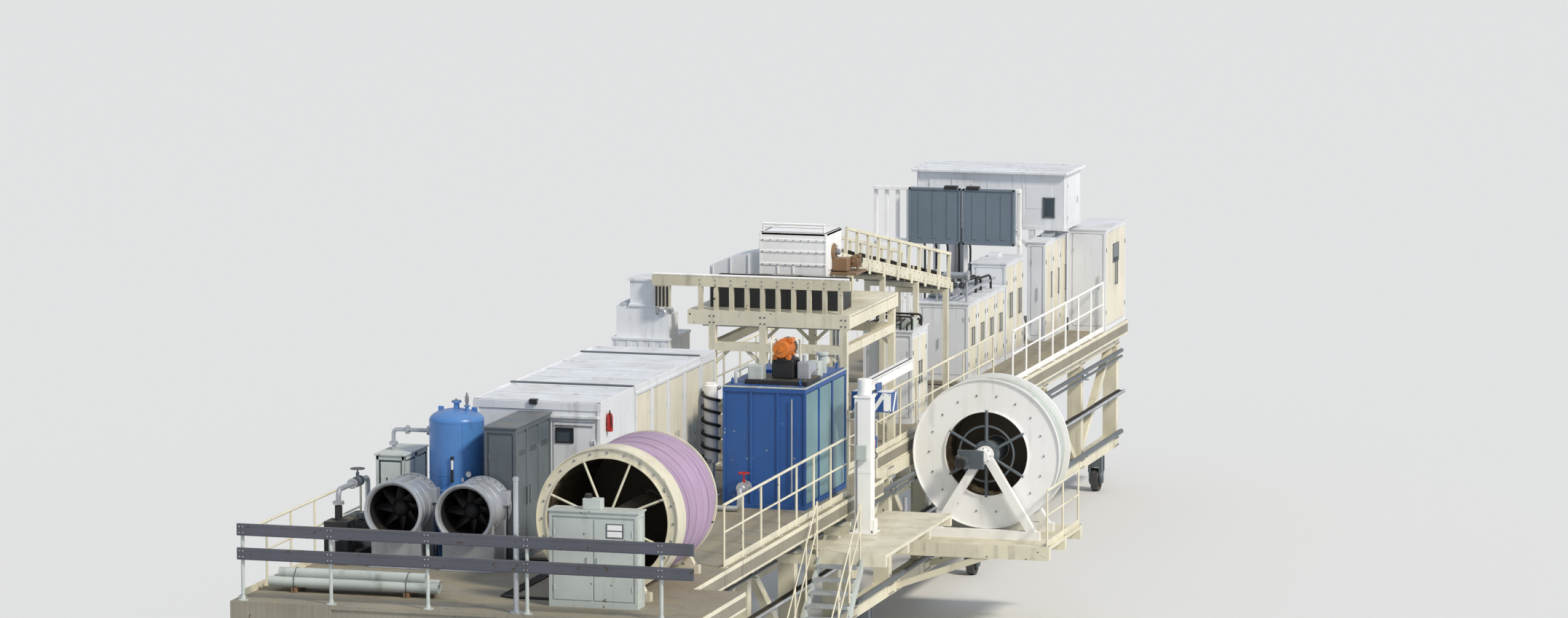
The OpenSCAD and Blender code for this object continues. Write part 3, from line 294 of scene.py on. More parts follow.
def coat(name, slot, rgb, rough=0.45, metal=0.0, mottle=0.1, runs=0.35, dust=0.45, chips=0.0,
         chip_rgb=None, grain=0.0015, ripple=0.0):
    """Paint with cloudy shade, dirt runs down the sides, dust on what faces up and worn chips."""
    f = Finish(name)
    f.slot = slot
    c = np.array(paint_colour(*rgb))
    dark, light = (*(c[:3]*(1 - mottle)), 1), (*np.minimum(c[:3]*(1 + mottle), 0.95), 1)
    cloud = f.noise(0.9, 5)
    shade = f.blend(f.between(cloud, 0.35, 0.65), dark, light)
    run = f.maths("MULTIPLY", f.between(f.noise(1.0, 6, (7, 7, 0.45)), 0.52, 0.74, runs),
                  f.between(f.noise(2.2, 3), 0.4, 0.6))
    shade = f.blend(run, shade, GRIME)
    settled = f.maths("MULTIPLY", f.upward(), f.between(f.noise(1.7, 7), 0.36, 0.7, dust))
    shade = f.blend(settled, shade, DUST)
    fine = f.noise(26, 5)
    if chips:
        shade = f.blend(f.between(f.noise(9, 8), 0.7 - 0.06*chips, 0.73 - 0.06*chips), shade,
                        paint_colour(*chip_rgb) if chip_rgb else GRIME)
    f.set(f.shader.inputs["Base Color"], shade)
    spread = f.add("ShaderNodeMapRange", Value=f.maths("ADD", fine, settled), From_Min=0.3, From_Max=1.3,
                   To_Min=rough - 0.08, To_Max=min(rough + 0.35, 0.98)).outputs[0]
    f.set(f.shader.inputs["Roughness"], spread)
    f.shader.inputs["Metallic"].default_value = metal
    normal = f.bump(fine, grain, 0.4)
    if ripple:
        normal = f.bump(f.noise(1.6, 2), ripple, 0.5, normal)
    f.set(f.shader.inputs["Normal"], normal)
    return f


def chequer(f, pitch=0.05):
    """Raised bars of tread plate: two waves at right angles, each shown where the other sleeps."""
    waves = [f.add("ShaderNodeTexWave", {"bands_direction": "DIAGONAL"}, Scale=0.32/pitch,
                   Vector=f.add("ShaderNodeMapping", Vector=f.place, Scale=s).outputs[0]).outputs["Fac"]
             for s in ((1, 1, 0.001), (1, -1, 0.001))]
    tread = f.maths("POWER", f.maths("MAXIMUM", *waves), 3)
    old = f.shader.inputs["Normal"].links[0].from_socket
    f.set(f.shader.inputs["Normal"], f.bump(tread, 0.004, 0.6, old))
    return f


cream = coat("cream_frame_paint", "cream_paint", (224, 219, 197), dust=0.4, chips=0.2)
tread = chequer(coat("tread_plate", "cream_paint", (142, 137, 123),
                     rough=0.65, runs=0.4, dust=0.6, chips=0.25, chip_rgb=(104, 92, 74)))
white = coat("white_sheet_paint", "white_paint", (226, 229, 233),
             rough=0.4, mottle=0.05, runs=0.32, dust=0.28, ripple=0.01)
# Warm cream for the doors on right-facing walls: painted sunlight, the sun's warm tone on those faces;
# doors on the end faces keep the white paint
sunlit_cream = coat("ivory_door_paint", "white_paint", (224, 219, 200),
             rough=0.4, mottle=0.05, runs=0.32, dust=0.3)
bright = coat("bright_white_paint", "white_paint", (248, 248, 245),
              rough=0.38, mottle=0.04, runs=0.2, dust=0.2)
pale = coat("pale_grey_paint", "pale_grey_paint", (190, 198, 194), runs=0.4, dust=0.4, chips=0.2)
slate = coat("slate_grey_paint", "grey_paint", (92, 101, 108), rough=0.4, mottle=0.12, runs=0.3, dust=0.4)
panel = coat("panel_grey_paint", "grey_paint", (108, 122, 134), rough=0.5, mottle=0.06, runs=0.25, dust=0.3)
rail_dark = coat("dark_rail_paint", "grey_paint", (82, 84, 94), rough=0.5, runs=0.3, dust=0.5, chips=0.8)
black = coat("black_paint", "grey_paint", (36, 37, 40), rough=0.5, mottle=0.2, runs=0.2, dust=0.5)
soot = coat("fan_soot_black", "grey_paint", (24, 24, 26), rough=0.6, mottle=0.2, runs=0.1, dust=0.25)
primer = coat("barrel_primer", "grey_paint", (80, 70, 55), rough=0.6, mottle=0.25, runs=0.2, dust=0.5)
enamel = coat("receiver_blue", "tank_blue", (82, 134, 198), rough=0.3, mottle=0.08, runs=0.3, dust=0.6)
deep_blue = coat("tank_deep_blue", "mix_blue", (40, 86, 152), rough=0.42, runs=0.25,
                 chips=0.1, chip_rgb=(150, 160, 165))
tan = coat("tan_paint", "tan_paint", (206, 200, 176), runs=0.5, dust=0.4, chips=0.5)
zinc = coat("zinc_sheet", "galvanised", (186, 190, 196), rough=0.34, metal=0.55, mottle=0.16,
            runs=0.3, dust=0.35)
steel = coat("bare_steel", "galvanised", (150, 152, 156), rough=0.35, metal=0.8, mottle=0.2,
             runs=0.3, dust=0.3)
cast = coat("cast_wheel", "wheel_steel", (74, 74, 78), rough=0.5, metal=0.3, mottle=0.25, runs=0.4,
            dust=0.6, chips=1.0, chip_rgb=(120, 78, 50))
brown = coat("gearbox_brown", "tan_paint", (132, 104, 78), rough=0.5, runs=0.3, dust=0.5)
# Lighter blue for the tank's right side: painted sunlight on the tank's blue paint
sunlit_blue = coat("tank_side_teal", "mix_blue", (116, 149, 157), mottle=0.12, dust=0.3)
orange = coat("motor_orange", "tan_paint", (214, 122, 44), rough=0.4, dust=0.3)
red = coat("red_paint", "tan_paint", (178, 40, 34), rough=0.35, runs=0.2, dust=0.2)
rubber = coat("rubber_hose", "grey_paint", (34, 34, 36), rough=0.62, mottle=0.25, runs=0.1,
              dust=0.5, grain=0.003)
belting = coat("conveyor_belt", "grey_paint", (52, 50, 48), rough=0.8, mottle=0.3, runs=0.2,
               dust=0.9, grain=0.004)
lilac = coat("lilac_hose", "reel_hose", (171, 147, 175), rough=0.6, runs=0.2, dust=0.3, grain=0.003)
pane = coat("dark_glass", "grey_paint", (70, 82, 90), rough=0.12, mottle=0.1, runs=0.15,
            dust=0.1, grain=0.0002)


SMOOTH_UNDER = math.radians(32)


def put(name, finish, body, *shapes):
    """The joined shapes as one piece: a mesh in a finish, that rides on a body."""
    points, quads, tris = join(*shapes)
    mesh = bpy.data.meshes.new(name)
    mesh.vertices.add(len(points))
    mesh.vertices.foreach_set("co", points.astype(np.float32).ravel())
    order = np.concatenate([quads.ravel(), tris.ravel()])
    mesh.loops.add(len(order))
    mesh.loops.foreach_set("vertex_index", order.astype(np.int32))
    starts = np.concatenate([np.arange(len(quads))*4, len(quads)*4 + np.arange(len(tris))*3])
    mesh.polygons.add(len(starts))
    mesh.polygons.foreach_set("loop_start", starts.astype(np.int32))
    mesh.update(calc_edges=True)
    mesh.shade_smooth()
    mesh.set_sharp_from_angle(angle=SMOOTH_UNDER)
    mesh.materials.append(finish.material)
    made = bpy.data.objects.new(name, mesh)
    bpy.context.scene.collection.objects.link(made)
    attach(made, body)
    return made


def put_on(body):
    """put() for one body."""
    return lambda name, finish, *shapes: put(name, finish, body, *shapes)


on_rear, on_mid, on_front = (put_on(body) for body in GANTRIES)


def near(x=0.0, y=0.0, z=0.0):
    """Points by their distance from a corner."""
    return lambda dx, dy, dz: [x + dx, y + dy, z + dz]


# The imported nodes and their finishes

NODE_FINISH = {
    cream: "rear_side_frames mid_side_frames front_side_frames rear_railings mid_railings "
           "side_platform reel_stand low_platform hose_reel upper_frame belt_conveyor "
           "conveyor_trestles",
    tread: "rear_deck mid_deck front_deck",
    slate: "rear_bogies mid_bogies front_bogies rear_cabinets stored_pipes",
    rail_dark: "rear_guardrail",
    bright: "front_railings hose_rack jib_column jib_arm front_reel_stand front_hose_reel "
            "discharge_head",
    pale: "access_stair reel_control_box",
    white: "control_room control_room_door switch_room dust_filter discharge_chute mid_cabinet "
           "front_cabinets machine_room",
    zinc: "fan_casings",
    soot: "fan_rotor_left fan_rotor_right",
    enamel: "air_receiver",
    black: "pump_set mixer_drive",
    deep_blue: "mixing_tank jib_hoist",
    tan: "ladder_railing",
    panel: "panel_rack",
}
FINISH_OF = {name: finish for finish, names in NODE_FINISH.items() for name in names.split()}
for name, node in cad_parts.items():
    finish = cast if "_wheel_" in name else FINISH_OF[name]
    node.data.materials.clear()
    node.data.materials.append(finish.material)


def corners(name):
    """Lowest and highest corner of a node as arrays."""
    lo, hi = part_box(name)
    return np.array(lo), np.array(hi)


# Doors, louvres and handles on the upright face of a cabinet or room

def leaf(origin, across, w, h, louvres=0, handle="right", grip=0.15):
    """One door leaf: a raised panel, thin level slots near its top, hinges and a bar handle."""
    skin_part = [block([0, 0, 0], [w, h, 0.018], 0.006)]
    dark_part, metal_part = [], []
    if louvres:
        slot = block([0, -0.005, 0.017], [0.6*w, 0.005, 0.02], 0.001)
        dark_part.append(copies(slot, [[0.2*w, 0.86*h - 0.026*i, 0] for i in range(louvres)]))
    side = w - 0.07 if handle == "right" else 0.07
    metal_part.append(rod([side, 0.4*h, 0.045], [side, (0.4 + grip)*h, 0.045], 0.024, 8))
    metal_part += [rod([side, k, 0.016], [side, k, 0.045], 0.014, 8)
                   for k in (0.4*h + 0.03, (0.4 + grip)*h - 0.03)]
    hinge = 0.015 if handle == "right" else w - 0.015
    metal_part += [rod([hinge, h*k, 0.016], [hinge, h*k + 0.09, 0.016], 0.03, 8) for k in (0.12, 0.8)]
    return [[on_face(s, origin, across) for s in part] for part in (skin_part, dark_part, metal_part)]


def door_row(base, across, total, h, n, louvres=0, gap=0.03, grip=0.15):
    """n leaves side by side, with handles that meet in pairs."""
    across = vec(across)
    w = total/n
    parts = [[], [], []]
    for i in range(n):
        made = leaf(np.asarray(base) + across*(w*i + gap/2), across, w - gap, h, louvres,
                    "right" if i % 2 == 0 else "left", grip)
        for kept, new in zip(parts, made):
            kept += new
    return parts


def put_doors(name, finish, body, rows, metal=pale):
    """Door rows as three pieces: the leaves, the dark slots and the handles with the hinges."""
    skins, darks, metals = ([s for row in rows for s in row[k]] for k in range(3))
    put(name + "_doors", finish, body, *skins)
    if darks:
        put(name + "_louvre_slots", black, body, *darks)
    put(name + "_handles", metal, body, *metals)


# Running gear and side frames

def frame_posts(y0, y1):
    """Middles of a side frame's posts: equal steps of about three metres."""
    n = round((y1 - y0 - CHORD)/3)
    return y0 + CHORD/2 + (y1 - y0 - CHORD)*np.arange(n + 1)/n


for body, (y0, y1) in GANTRIES.items():
    gussets, heads = [], []
    for x, out in ((s*TRACK + k*HALF_FRAME, k*X) for s, k in ((1, 1), (1, -1), (-1, -1), (-1, 1))):
        plates = [(min(max(y, y0 + 0.22), y1 - 0.22), z) for y in frame_posts(y0, y1)
                  for z in (FRAME_FOOT + 0.13, FRAME_TOP - 0.13)]
        places = [[x, y, z] for y, z in plates]
        gussets.append(copies(block([0 if out[0] > 0 else -0.014, -0.21, -0.12],
                                    [0.014 if out[0] > 0 else 0, 0.21, 0.12]), places))
        spots = [[x + out[0]*0.014, y + dy, z + dz] for y, z in plates
                 for dy in (-0.16, -0.055, 0.055, 0.16) for dz in (-0.08, 0.08)]
        heads.append(bolts(spots, out))
    put(body + "_gussets", cream, body, *gussets)
    put(body + "_gusset_bolts", steel, body, *heads)

    caps, hubs = [], []
    for x in (-TRACK, TRACK):
        for y in (y0 + AXLE_IN, y1 - AXLE_IN):
            for s in (-1, 1):
                face = [x + s*CHEEK, y, AXLE_Z]
                caps.append(turning([(0.075, 0), (0.075, 0.012), (0.06, 0.022), (0.01, 0.024)],
                                    face, s*X, 24))
                hubs.append(bolts(round_places(face, 0.058, 6, X), s*X, 0.022, 0.03))
                caps += [block([x + s*CHEEK, y + k - 0.02, 0.42], [x + s*0.15, y + k + 0.02, 0.76])
                         for k in (-0.14, 0.14)]
    put(body + "_axle_caps", slate, body, *caps)
    put(body + "_axle_bolts", steel, body, *hubs)

    lines, clips = [], []
    for x, s in ((TRACK + HALF_FRAME, 1), (-TRACK - HALF_FRAME, -1)):
        for z, d in ((2.93, 0.09), (2.8, 0.06), (1.13, 0.11)):
            lines.append(rod([x + s*0.09, y0 + 0.1, z], [x + s*0.09, y1 - 0.1, z], d, 14))
            spots = [[x, y, z] for y in frame_posts(y0, y1)[1:-1]]
            clips.append(copies(block([0 if s > 0 else -0.15, -0.03, -0.07],
                                      [0.15 if s > 0 else 0, 0.03, -0.045]), spots))
            clips.append(copies(block([0 if s > 0 else -0.03, -0.03, -0.07],
                                      [0.03 if s > 0 else 0, 0.03, 0.07]), spots))
        tray = [x + s*0.02, x + s*0.2]
        clips.append(block([tray[0], y0 + 0.2, 2.02], [tray[1], y1 - 0.2, 2.035]))
        clips.append(block([tray[1] - 0.01, y0 + 0.2, 2.02], [tray[1], y1 - 0.2, 2.09]))
    put(body + "_pipe_lines", slate, body, *lines)
    put(body + "_pipe_clips", zinc, body, *clips)
    cables = []
    for x, s in ((TRACK + HALF_FRAME, 1), (-TRACK - HALF_FRAME, -1)):
        for k, d in enumerate((0.05, 0.036, 0.044)):
            t = np.linspace(y0 + 0.25, y1 - 0.25, 60)
            path = np.column_stack([x + s*(0.055 + 0.05*k) + 0.006*np.sin(t*1.7 + k), t,
                                    2.035 + d/2 + 0.003*np.sin(t*2.3)])
            cables.append(tube(path, d/2, 8))
    put(body + "_tray_conduits", rubber, body, *cables)


# Machine parts that several areas share

def torus(centre, radius, thick, axis=Z, n=48, m=10):
    """Round ring: a tube carried round a circle."""
    return tube(round_places(centre, radius, n, axis), thick/2, m, closed=True)


def flange(at, axis, d, t=0.02, n=8):
    """Pipe flange on both sides of a point, with its bolts."""
    axis, at = vec(axis), vec(at)
    disc = turning([(0.3*d, -t), (d/2, -t), (d/2, t), (0.3*d, t)], at, axis, 24)
    heads = [bolts(round_places(at + s*t*axis, 0.42*d, n, axis), s*axis, 0.022, 0.012) for s in (-1, 1)]
    return join(disc, *heads)


def handwheel(at, axis, d):
    """Wheel of a valve on its stem: a ring, a hub and four spokes."""
    axis, at = vec(axis), vec(at)
    arms = [rod(at, end, 0.014, 8) for end in round_places(at, 0.48*d, 4, axis, 0.4)]
    return join(torus(at, d/2, 0.02, axis, 32, 8), rod(at - 0.12*axis, at + 0.02*axis, 0.03, 12), *arms)


def motor(centre, r, l, turn=0):
    """Electric motor along Y, or turned about Z: a drum with lengthwise fins, a tail cowl, a shaft collar,
    two feet and a terminal box. Returned as its painted body and its dark cowl."""
    x, y, z = centre
    drum = turning([(0.25*r, -0.56*l), (0.3*r, -0.5*l), (0.84*r, -0.5*l), (0.88*r, -0.47*l),
                    (0.88*r, 0.3*l)], centre, Y, 32)
    fin = block([x - 0.005, y - 0.44*l, z + 0.85*r], [x + 0.005, y + 0.29*l, z + r], 0.002)
    feet = [block([x + s*0.45*r, y + k*l - 0.05, z - 1.12*r], [x + s*0.95*r, y + k*l + 0.05, z - 0.6*r])
            for s in (-1, 1) for k in (-0.3, 0.15)]
    box = block([x + 0.5*r, y - 0.2*l, z + 0.62*r], [x + 1.05*r, y + 0.12*l, z + 1.12*r], 0.012)
    cowl = turning([(0.7*r, 0.29*l), (r, 0.29*l), (r, 0.45*l), (0.9*r, 0.5*l), (0.3*r, 0.5*l)],
                   centre, Y, 32)
    grille = [torus([x, y + 0.5*l, z], k*r, 0.012, Y, 32, 6) for k in (0.4, 0.58, 0.76)]
    body = join(drum, spun(fin, Y, 26, centre), *feet, box)
    return turned(body, Z, turn, centre), turned(join(cowl, *grille), Z, turn, centre)


def ribs(lo, hi, step, depth=0.014, width=0.09, side=-X):
    """Upright pressed ribs on a wall: from the lowest corner of the wall to its highest, at equal steps."""
    lo, hi = vec(lo), vec(hi)
    flat = hi - lo
    flat[2] = 0
    n = max(2, int(round(np.linalg.norm(flat)/step)))
    run = flat/np.linalg.norm(flat)
    centre = [lo + flat*(i + 0.5)/n for i in range(n)]
    side = vec(side)
    return join(*[block(c - run*width/2 - side*0.002, c + run*width/2 + side*depth + Z*(hi[2] - lo[2]),
                        0.012) for c in centre])


# Rear gantry: rooms

DOOR_WINDOW = (-1.1, -0.82, 5.42, 5.64)     # left, right, lower and upper edge of the pane in the door
room_lo, room_hi = corners("control_room")
door_lo = corners("control_room_door")[0]
switch_lo, switch_hi = corners("switch_room")
room_top = room_hi[2]
rear_wall = room_lo[1] + 0.042               # the hinges stand 42 mm out of the wall
MAIN_BOX = 4.05                              # length of the switch room's long box
END_BOX = 0.9                                # and of the short one at its end

edges = []
for x in (room_lo[0], room_hi[0]):
    edges.append(block([x - 0.008, rear_wall - 0.008, 3.7], [x + 0.008 + (0.09 if x < -1 else -0.09),
                                                             rear_wall + 0.05, room_top]))
edges.append(block([room_lo[0], rear_wall - 0.01, room_top - 0.14],
                   [room_hi[0], rear_wall + 0.02, room_top]))
edges.append(block([-1.3, rear_wall - 0.06, 5.83], [-0.34, rear_wall, 5.88]))
edges.append(block([-1.24, rear_wall - 0.012, 3.72], [-1.19, rear_wall, 5.83]))
edges.append(block([-0.39, rear_wall - 0.012, 4.6], [-0.35, rear_wall, 5.2]))
edges.append(block([-1.24, rear_wall - 0.05, 3.7], [-0.36, rear_wall, 3.735]))
roof_y = [rear_wall, rear_wall + 1.95, switch_lo[1], switch_lo[1] + MAIN_BOX,
          switch_hi[1] - END_BOX, switch_hi[1]]
for y0, y1, n in ((roof_y[0], roof_y[1], 2), (roof_y[2], roof_y[3], 4), (roof_y[4], roof_y[5], 1)):
    for i in range(n + 1):
        y = y0 + 0.02 + (y1 - y0 - 0.08)*i/n
        edges.append(block([room_lo[0] + 0.01, y, room_top - 0.001],
                           [room_hi[0] - 0.01, y + 0.04, room_top + 0.025]))
    for x in (room_lo[0] + 0.005, room_hi[0] - 0.045):
        edges.append(block([x, y0 + 0.01, room_top - 0.001], [x + 0.04, y1 - 0.01, room_top + 0.03]))
    edges.append(ribs([room_lo[0], y0 + 0.1, 3.85], [room_lo[0], y1 - 0.1, 5.95], 0.28))
edges.append(block([switch_hi[0] - 0.002, switch_lo[1], room_top - 0.12],
                   [switch_hi[0] + 0.012, switch_lo[1] + MAIN_BOX, room_top - 0.07]))
on_rear("room_frames_and_ribs", white, *edges)

on_rear("roof_seam_strips", slate,
        *[block([room_lo[0] + 0.03, y, room_top - 0.001], [room_hi[0] - 0.03, y + 0.09, room_top + 0.05])
          for y in (-11.07, -6.97)])
fittings = [block([-1.56, rear_wall - 0.1, 4.95], [-1.34, rear_wall - 0.001, 5.25]),
            block([-2.35, rear_wall - 0.07, 5.2], [-2.1, rear_wall - 0.001, 5.5]),
            rod([-1.45, rear_wall - 0.05, 5.25], [-1.45, rear_wall - 0.05, 5.9], 0.03, 10)]
on_rear("room_wall_boxes", bright, *fittings)
on_rear("room_top_box", black, block([-1.59, rear_wall - 0.06, 6.05], [-1.45, rear_wall + 0.06, 6.14]))
bottle = turning([(0.01, 0), (0.05, 0.004), (0.056, 0.025), (0.056, 0.26), (0.04, 0.31), (0.018, 0.33)],
                 [-0.24, -12.72, 5.58], Z, 24)
on_rear("extinguisher", red, bottle)
on_rear("extinguisher_bracket", black, block([-0.302, -12.76, 5.7], [-0.26, -12.68, 5.73]),
        rod([-0.24, -12.72, 5.9], [-0.24, -12.72, 5.95], 0.026, 10),
        pipe([[-0.24, -12.75, 5.92], [-0.2, -12.78, 5.88], [-0.18, -12.78, 5.66]], 0.018, 0.04, 8))

# The door's glass, its frame and its handle ride on the door
wx0, wx1, wz0, wz1 = DOOR_WINDOW
slab = (rear_wall - 0.02, rear_wall + 0.04)
put("door_glass", pane, "control_room_door",
    block([wx0 - 0.004, rear_wall + 0.006, wz0 - 0.004], [wx1 + 0.004, rear_wall + 0.012, wz1 + 0.004],
          0.001))
seal = [bar([wx0 - 0.02, y, z], [wx1 + 0.02, y, z], 0.016, 0.03) for y in slab
        for z in (wz0 - 0.01, wz1 + 0.01)]
seal += [bar([x, y, wz0 - 0.02], [x, y, wz1 + 0.02], 0.016, 0.03, up=X) for y in slab
         for x in (wx0 - 0.01, wx1 + 0.01)]
put("door_window_seal", rubber, "control_room_door", *seal)
grip = [block([-0.6, slab[0] - 0.012, 4.7], [-0.55, slab[0] + 0.002, 4.98]),
        pipe([[-0.575, slab[0], 4.93], [-0.575, slab[0] - 0.055, 4.93], [-0.7, slab[0] - 0.055, 4.93]],
             0.02, 0.02, 8)]
grip += [block([door_lo[0] + 0.02, slab[0] - 0.006, z], [-0.45, slab[0] + 0.002, z + 0.02])
         for z in (3.82, 5.69)]
put("door_handle", steel, "control_room_door", *grip)

# Switch room doors in the recesses of the right wall, in cream that is painted sunlight
bay = MAIN_BOX/4
rows = [door_row([switch_hi[0] - 0.03, switch_lo[1] + bay*i + 0.08, 3.84], Y, bay - 0.16, 2.1, 2)
        for i in range(4)]
rows.append(door_row([switch_hi[0] - 0.03, switch_hi[1] - END_BOX + 0.08, 3.84], Y, 0.74, 2.1, 2))
put_doors("switch_room", sunlit_cream, "rear_gantry", rows)

# Dark cabinet by the door and the pale one on the left platform: doors on the rear and the right faces
cab_hi = corners("rear_cabinets")[1]
rows = [door_row([cab_hi[0] - 0.05, -15.0 + 0.06, DOOR_FOOT], Y, 1.94 - 0.12, 2.06, 3, louvres=4),
        door_row([-1.76 + 0.06, -14.975, DOOR_FOOT], X, 0.56 - 0.12, 2.06, 1)]
put_doors("dark_cabinet", slate, "rear_gantry", rows, steel)
low = [door_row([-3.8 + 0.06, -14.675, DOOR_FOOT], X, 0.39, 1.48, 1),
       door_row([-3.319, -14.7 + 0.06, DOOR_FOOT], Y, 1.08, 1.48, 2)]
put_doors("pale_cabinet", pale, "rear_gantry", low)
shell = [block([x, -14.704, 3.602], [x + 0.052, -14.698, 5.315]) for x in (-3.809, -3.342)]
shell += [block([-3.296, y, 3.602], [-3.29, y + w, 5.315])
          for y, w in ((-14.704, 0.054), (-14.152, 0.104), (-13.55, 0.054))]
for low_z, high_z in ((3.602, 3.706), (5.24, 5.315)):
    shell += [block([-3.8, -14.704, low_z], [-3.3, -14.698, high_z]),
              block([-3.296, -14.7, low_z], [-3.29, -13.5, high_z])]
shell += [block([-3.809, -14.7, 3.602], [-3.803, -13.5, 5.315]),
          block([-3.805, -13.502, 3.602], [-3.294, -13.496, 5.315]),
          block([-3.834, -14.729, 5.312], [-3.265, -13.471, 5.344])]
on_rear("pale_cabinet_shell", pale, *shell)

# Control box in front of the reel: two doors, an instrument window, a small box on top and its conduits
box_lo, box_hi = corners("reel_control_box")
y_face = box_lo[1] + 0.05
row = door_row([box_lo[0] + 0.085, y_face, DOOR_FOOT], X, box_hi[0] - box_lo[0] - 0.17, 1.34, 2)
put_doors("reel_box", pale, "rear_gantry", [row])
on_rear("reel_box_window_frame", slate, block([1.55, y_face - 0.025, 4.76], [1.85, y_face - 0.016, 5.00]),
        block([1.6, y_face - 0.03, 4.68], [1.8, y_face - 0.016, 4.71]))
on_rear("reel_box_window_plates", bright,
        *[block([1.575, y_face - 0.029, z], [1.825, y_face - 0.02, z + 0.09], 0.003) for z in (4.78, 4.89)])
on_rear("reel_box_top_box", pale,
        block([1.12, -18.64, box_hi[2] - 0.001], [1.44, -18.46, box_hi[2] + 0.18], 0.012))
on_rear("reel_box_top_cap", black,
        rod([1.2, -18.55, box_hi[2] + 0.17], [1.2, -18.55, box_hi[2] + 0.25], 0.12, 20))
on_rear("reel_box_conduits", rubber,
        *[pipe([[box_lo[0] + 0.2 + 0.07*i, box_hi[1] - 0.03, 3.78],
                [box_lo[0] + 0.2 + 0.07*i, box_hi[1] + 0.1 + 0.03*i, 3.78],
                [box_lo[0] - 0.1, box_hi[1] + 0.1 + 0.03*i, 3.62],
                [-0.3 - 0.07*i, box_hi[1] + 0.1 + 0.03*i, 3.62], [-0.3 - 0.07*i, -14.5 - 0.07*i, 3.62],
                [-1.19, -14.5 - 0.07*i, 3.62]], 0.04, 0.06, 8) for i in range(3)])


# Hose reels

def wound_reel(name, x, z, y0, y1, r, inner, hub, spokes, arm, wound, far, rim, turns, paint, arms, hose):
    """Reel about an axis along Y. Its rear ring has turned-up lips and stands on spokes, then comes a
    bare rim, or else a hoop on the spokes. The front end is a disc, and the flat hose is one strip on
    a helix: (R cos a, y0 + pitch a / 2 pi, -R sin a)."""
    t, l, lip, bore, n = 0.05, y1 - y0, 0.018, 0.064, 96
    start = [x, y0, z]
    metal = [turning([(inner, 0), (r, 0), (r, t), (r - lip, t), (r - lip, 0.016), (inner + lip, 0.016),
                      (inner + lip, t), (inner, t)], [x, y0 + t, z], -Y, n, closed=True),
             turning([(bore, l - t), (far, l - t), (far, l), (far - 0.03, l), (far - 0.03, l - 0.03),
                      (bore, l - 0.03)], start, Y, n, True)]
    marks = [bolts(round_places([x, y0 + t - 0.016, z], 0.5*(inner + r), 3*spokes, Y), -Y, 0.04, 0.02),
             bolts(round_places([x, y0 + t - 0.03, z], 0.85*hub, 8, Y), -Y, 0.03, 0.02)]
    if rim:
        metal.append(turning([(r - 0.014, t), (r, t), (r, t + rim), (wound - 0.02, t + rim),
                              (wound - 0.02, t + rim - 0.012), (r - 0.014, t + rim - 0.012)],
                             start, Y, n, True))
        metal.append(join(*[turning([(r - 0.02, k), (r - 0.001, k), (r - 0.001, k + 0.012),
                                     (r - 0.02, k + 0.012)], start, Y, n, True)
                            for k in (t + 0.02, t + rim - 0.03)]))
    ribs_out = bar([x + hub, y1 - 0.015, z], [x + far - 0.04, y1 - 0.015, z], 0.03, 0.05, up=Z)
    metal.append(spun(ribs_out, Y, spokes, [x, 0, z]))
    put(name + "_frame", paint, name, *metal)
    put(name + "_bolts", steel, name, *marks)

    middle = np.array([x, y0 + 0.5*t, z])
    ends, roots = (round_places(middle, k, spokes, Y, math.pi/spokes) for k in (inner + 0.03, hub - 0.03))
    hoop = [] if rim else [torus(middle, 0.5*(inner + hub), 0.6*arm, Y, 64, 8)]
    put(name + "_spokes", arms, name, *[rod(a, b, arm) for a, b in zip(roots, ends)], *hoop,
        turning([(bore, 0), (hub, 0), (hub, 0.03), (0.7*hub, t), (bore, t)], [x, y0 + t, z], -Y, 32, True),
        turning([(bore, t), (hub - 0.02, t), (hub - 0.02, l - t), (bore, l - t)], start, Y, 40, True))
    slat = block([x - 0.05, y0 + t, z + inner - 0.02], [x + 0.05, y1 - t, z + inner - 0.004])
    put(name + "_barrel", primer, name,
        turning([(inner - 0.004, t), (inner + 0.012, t), (inner + 0.012, l - t), (inner - 0.004, l - t)],
                start, Y, n, True),
        turning([(hub - 0.01, l - t - 0.006), (inner, l - t - 0.006), (inner, l - t + 0.001),
                 (hub - 0.01, l - t + 0.001)], start, Y, 64, True), spun(slat, Y, 24, [x, 0, z]))

    w0, w1 = y0 + t + rim + 0.002, y1 - t - 0.002
    core = turning([(inner + 0.012, w0), (wound - 0.03, w0), (wound - 0.03, w1), (inner + 0.012, w1)],
                   [x, 0, z], Y, n, True)
    pitch = (w1 - w0)/(turns + 1)
    a = np.linspace(0, 2*math.pi*turns, 64*turns)
    s = np.linspace(0, 2*math.pi, 14, endpoint=False)
    across = 0.47*pitch*np.sign(np.cos(s))*np.abs(np.cos(s))**0.35
    height = 0.018*np.sign(np.sin(s))*np.abs(np.sin(s))**0.6
    radius = wound - 0.02 + height[None] + (0.007*np.sin(0.37*a) + 0.004*np.sin(3.1*a))[:, None]
    y = w0 + pitch*(a/(2*math.pi) + 0.5)[:, None] + across[None] + 0.006*np.sin(2.3*a)[:, None]
    y = np.clip(y, w0, w1)
    strip = skin(np.stack([x + radius*np.cos(a)[:, None], y, z - radius*np.sin(a)[:, None]], -1))
    made = put(name + "_wound_hose", hose, name, core, strip)
    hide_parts(name)


reel_lo, reel_hi = corners("hose_reel")
reel_x, reel_z = (reel_lo[0] + reel_hi[0])/2, (reel_lo[2] + reel_hi[2])/2
wound_reel("hose_reel", reel_x, reel_z, reel_lo[1], reel_hi[1],
           1.22, 1.04, 0.15, 8, 0.045, 1.15, 1.15, 0.42, 13, cream, cream, lilac)
reel2_lo, reel2_hi = corners("front_hose_reel")
reel2_x, reel2_z = (reel2_lo[0] + reel2_hi[0])/2, (reel2_lo[2] + reel2_hi[2])/2
wound_reel("front_hose_reel", reel2_x, reel2_z, reel2_lo[1], reel2_hi[1],
           1.45, 0.81, 0.26, 6, 0.07, 1.37, 1.45, 0, 7, bright, slate, pale)

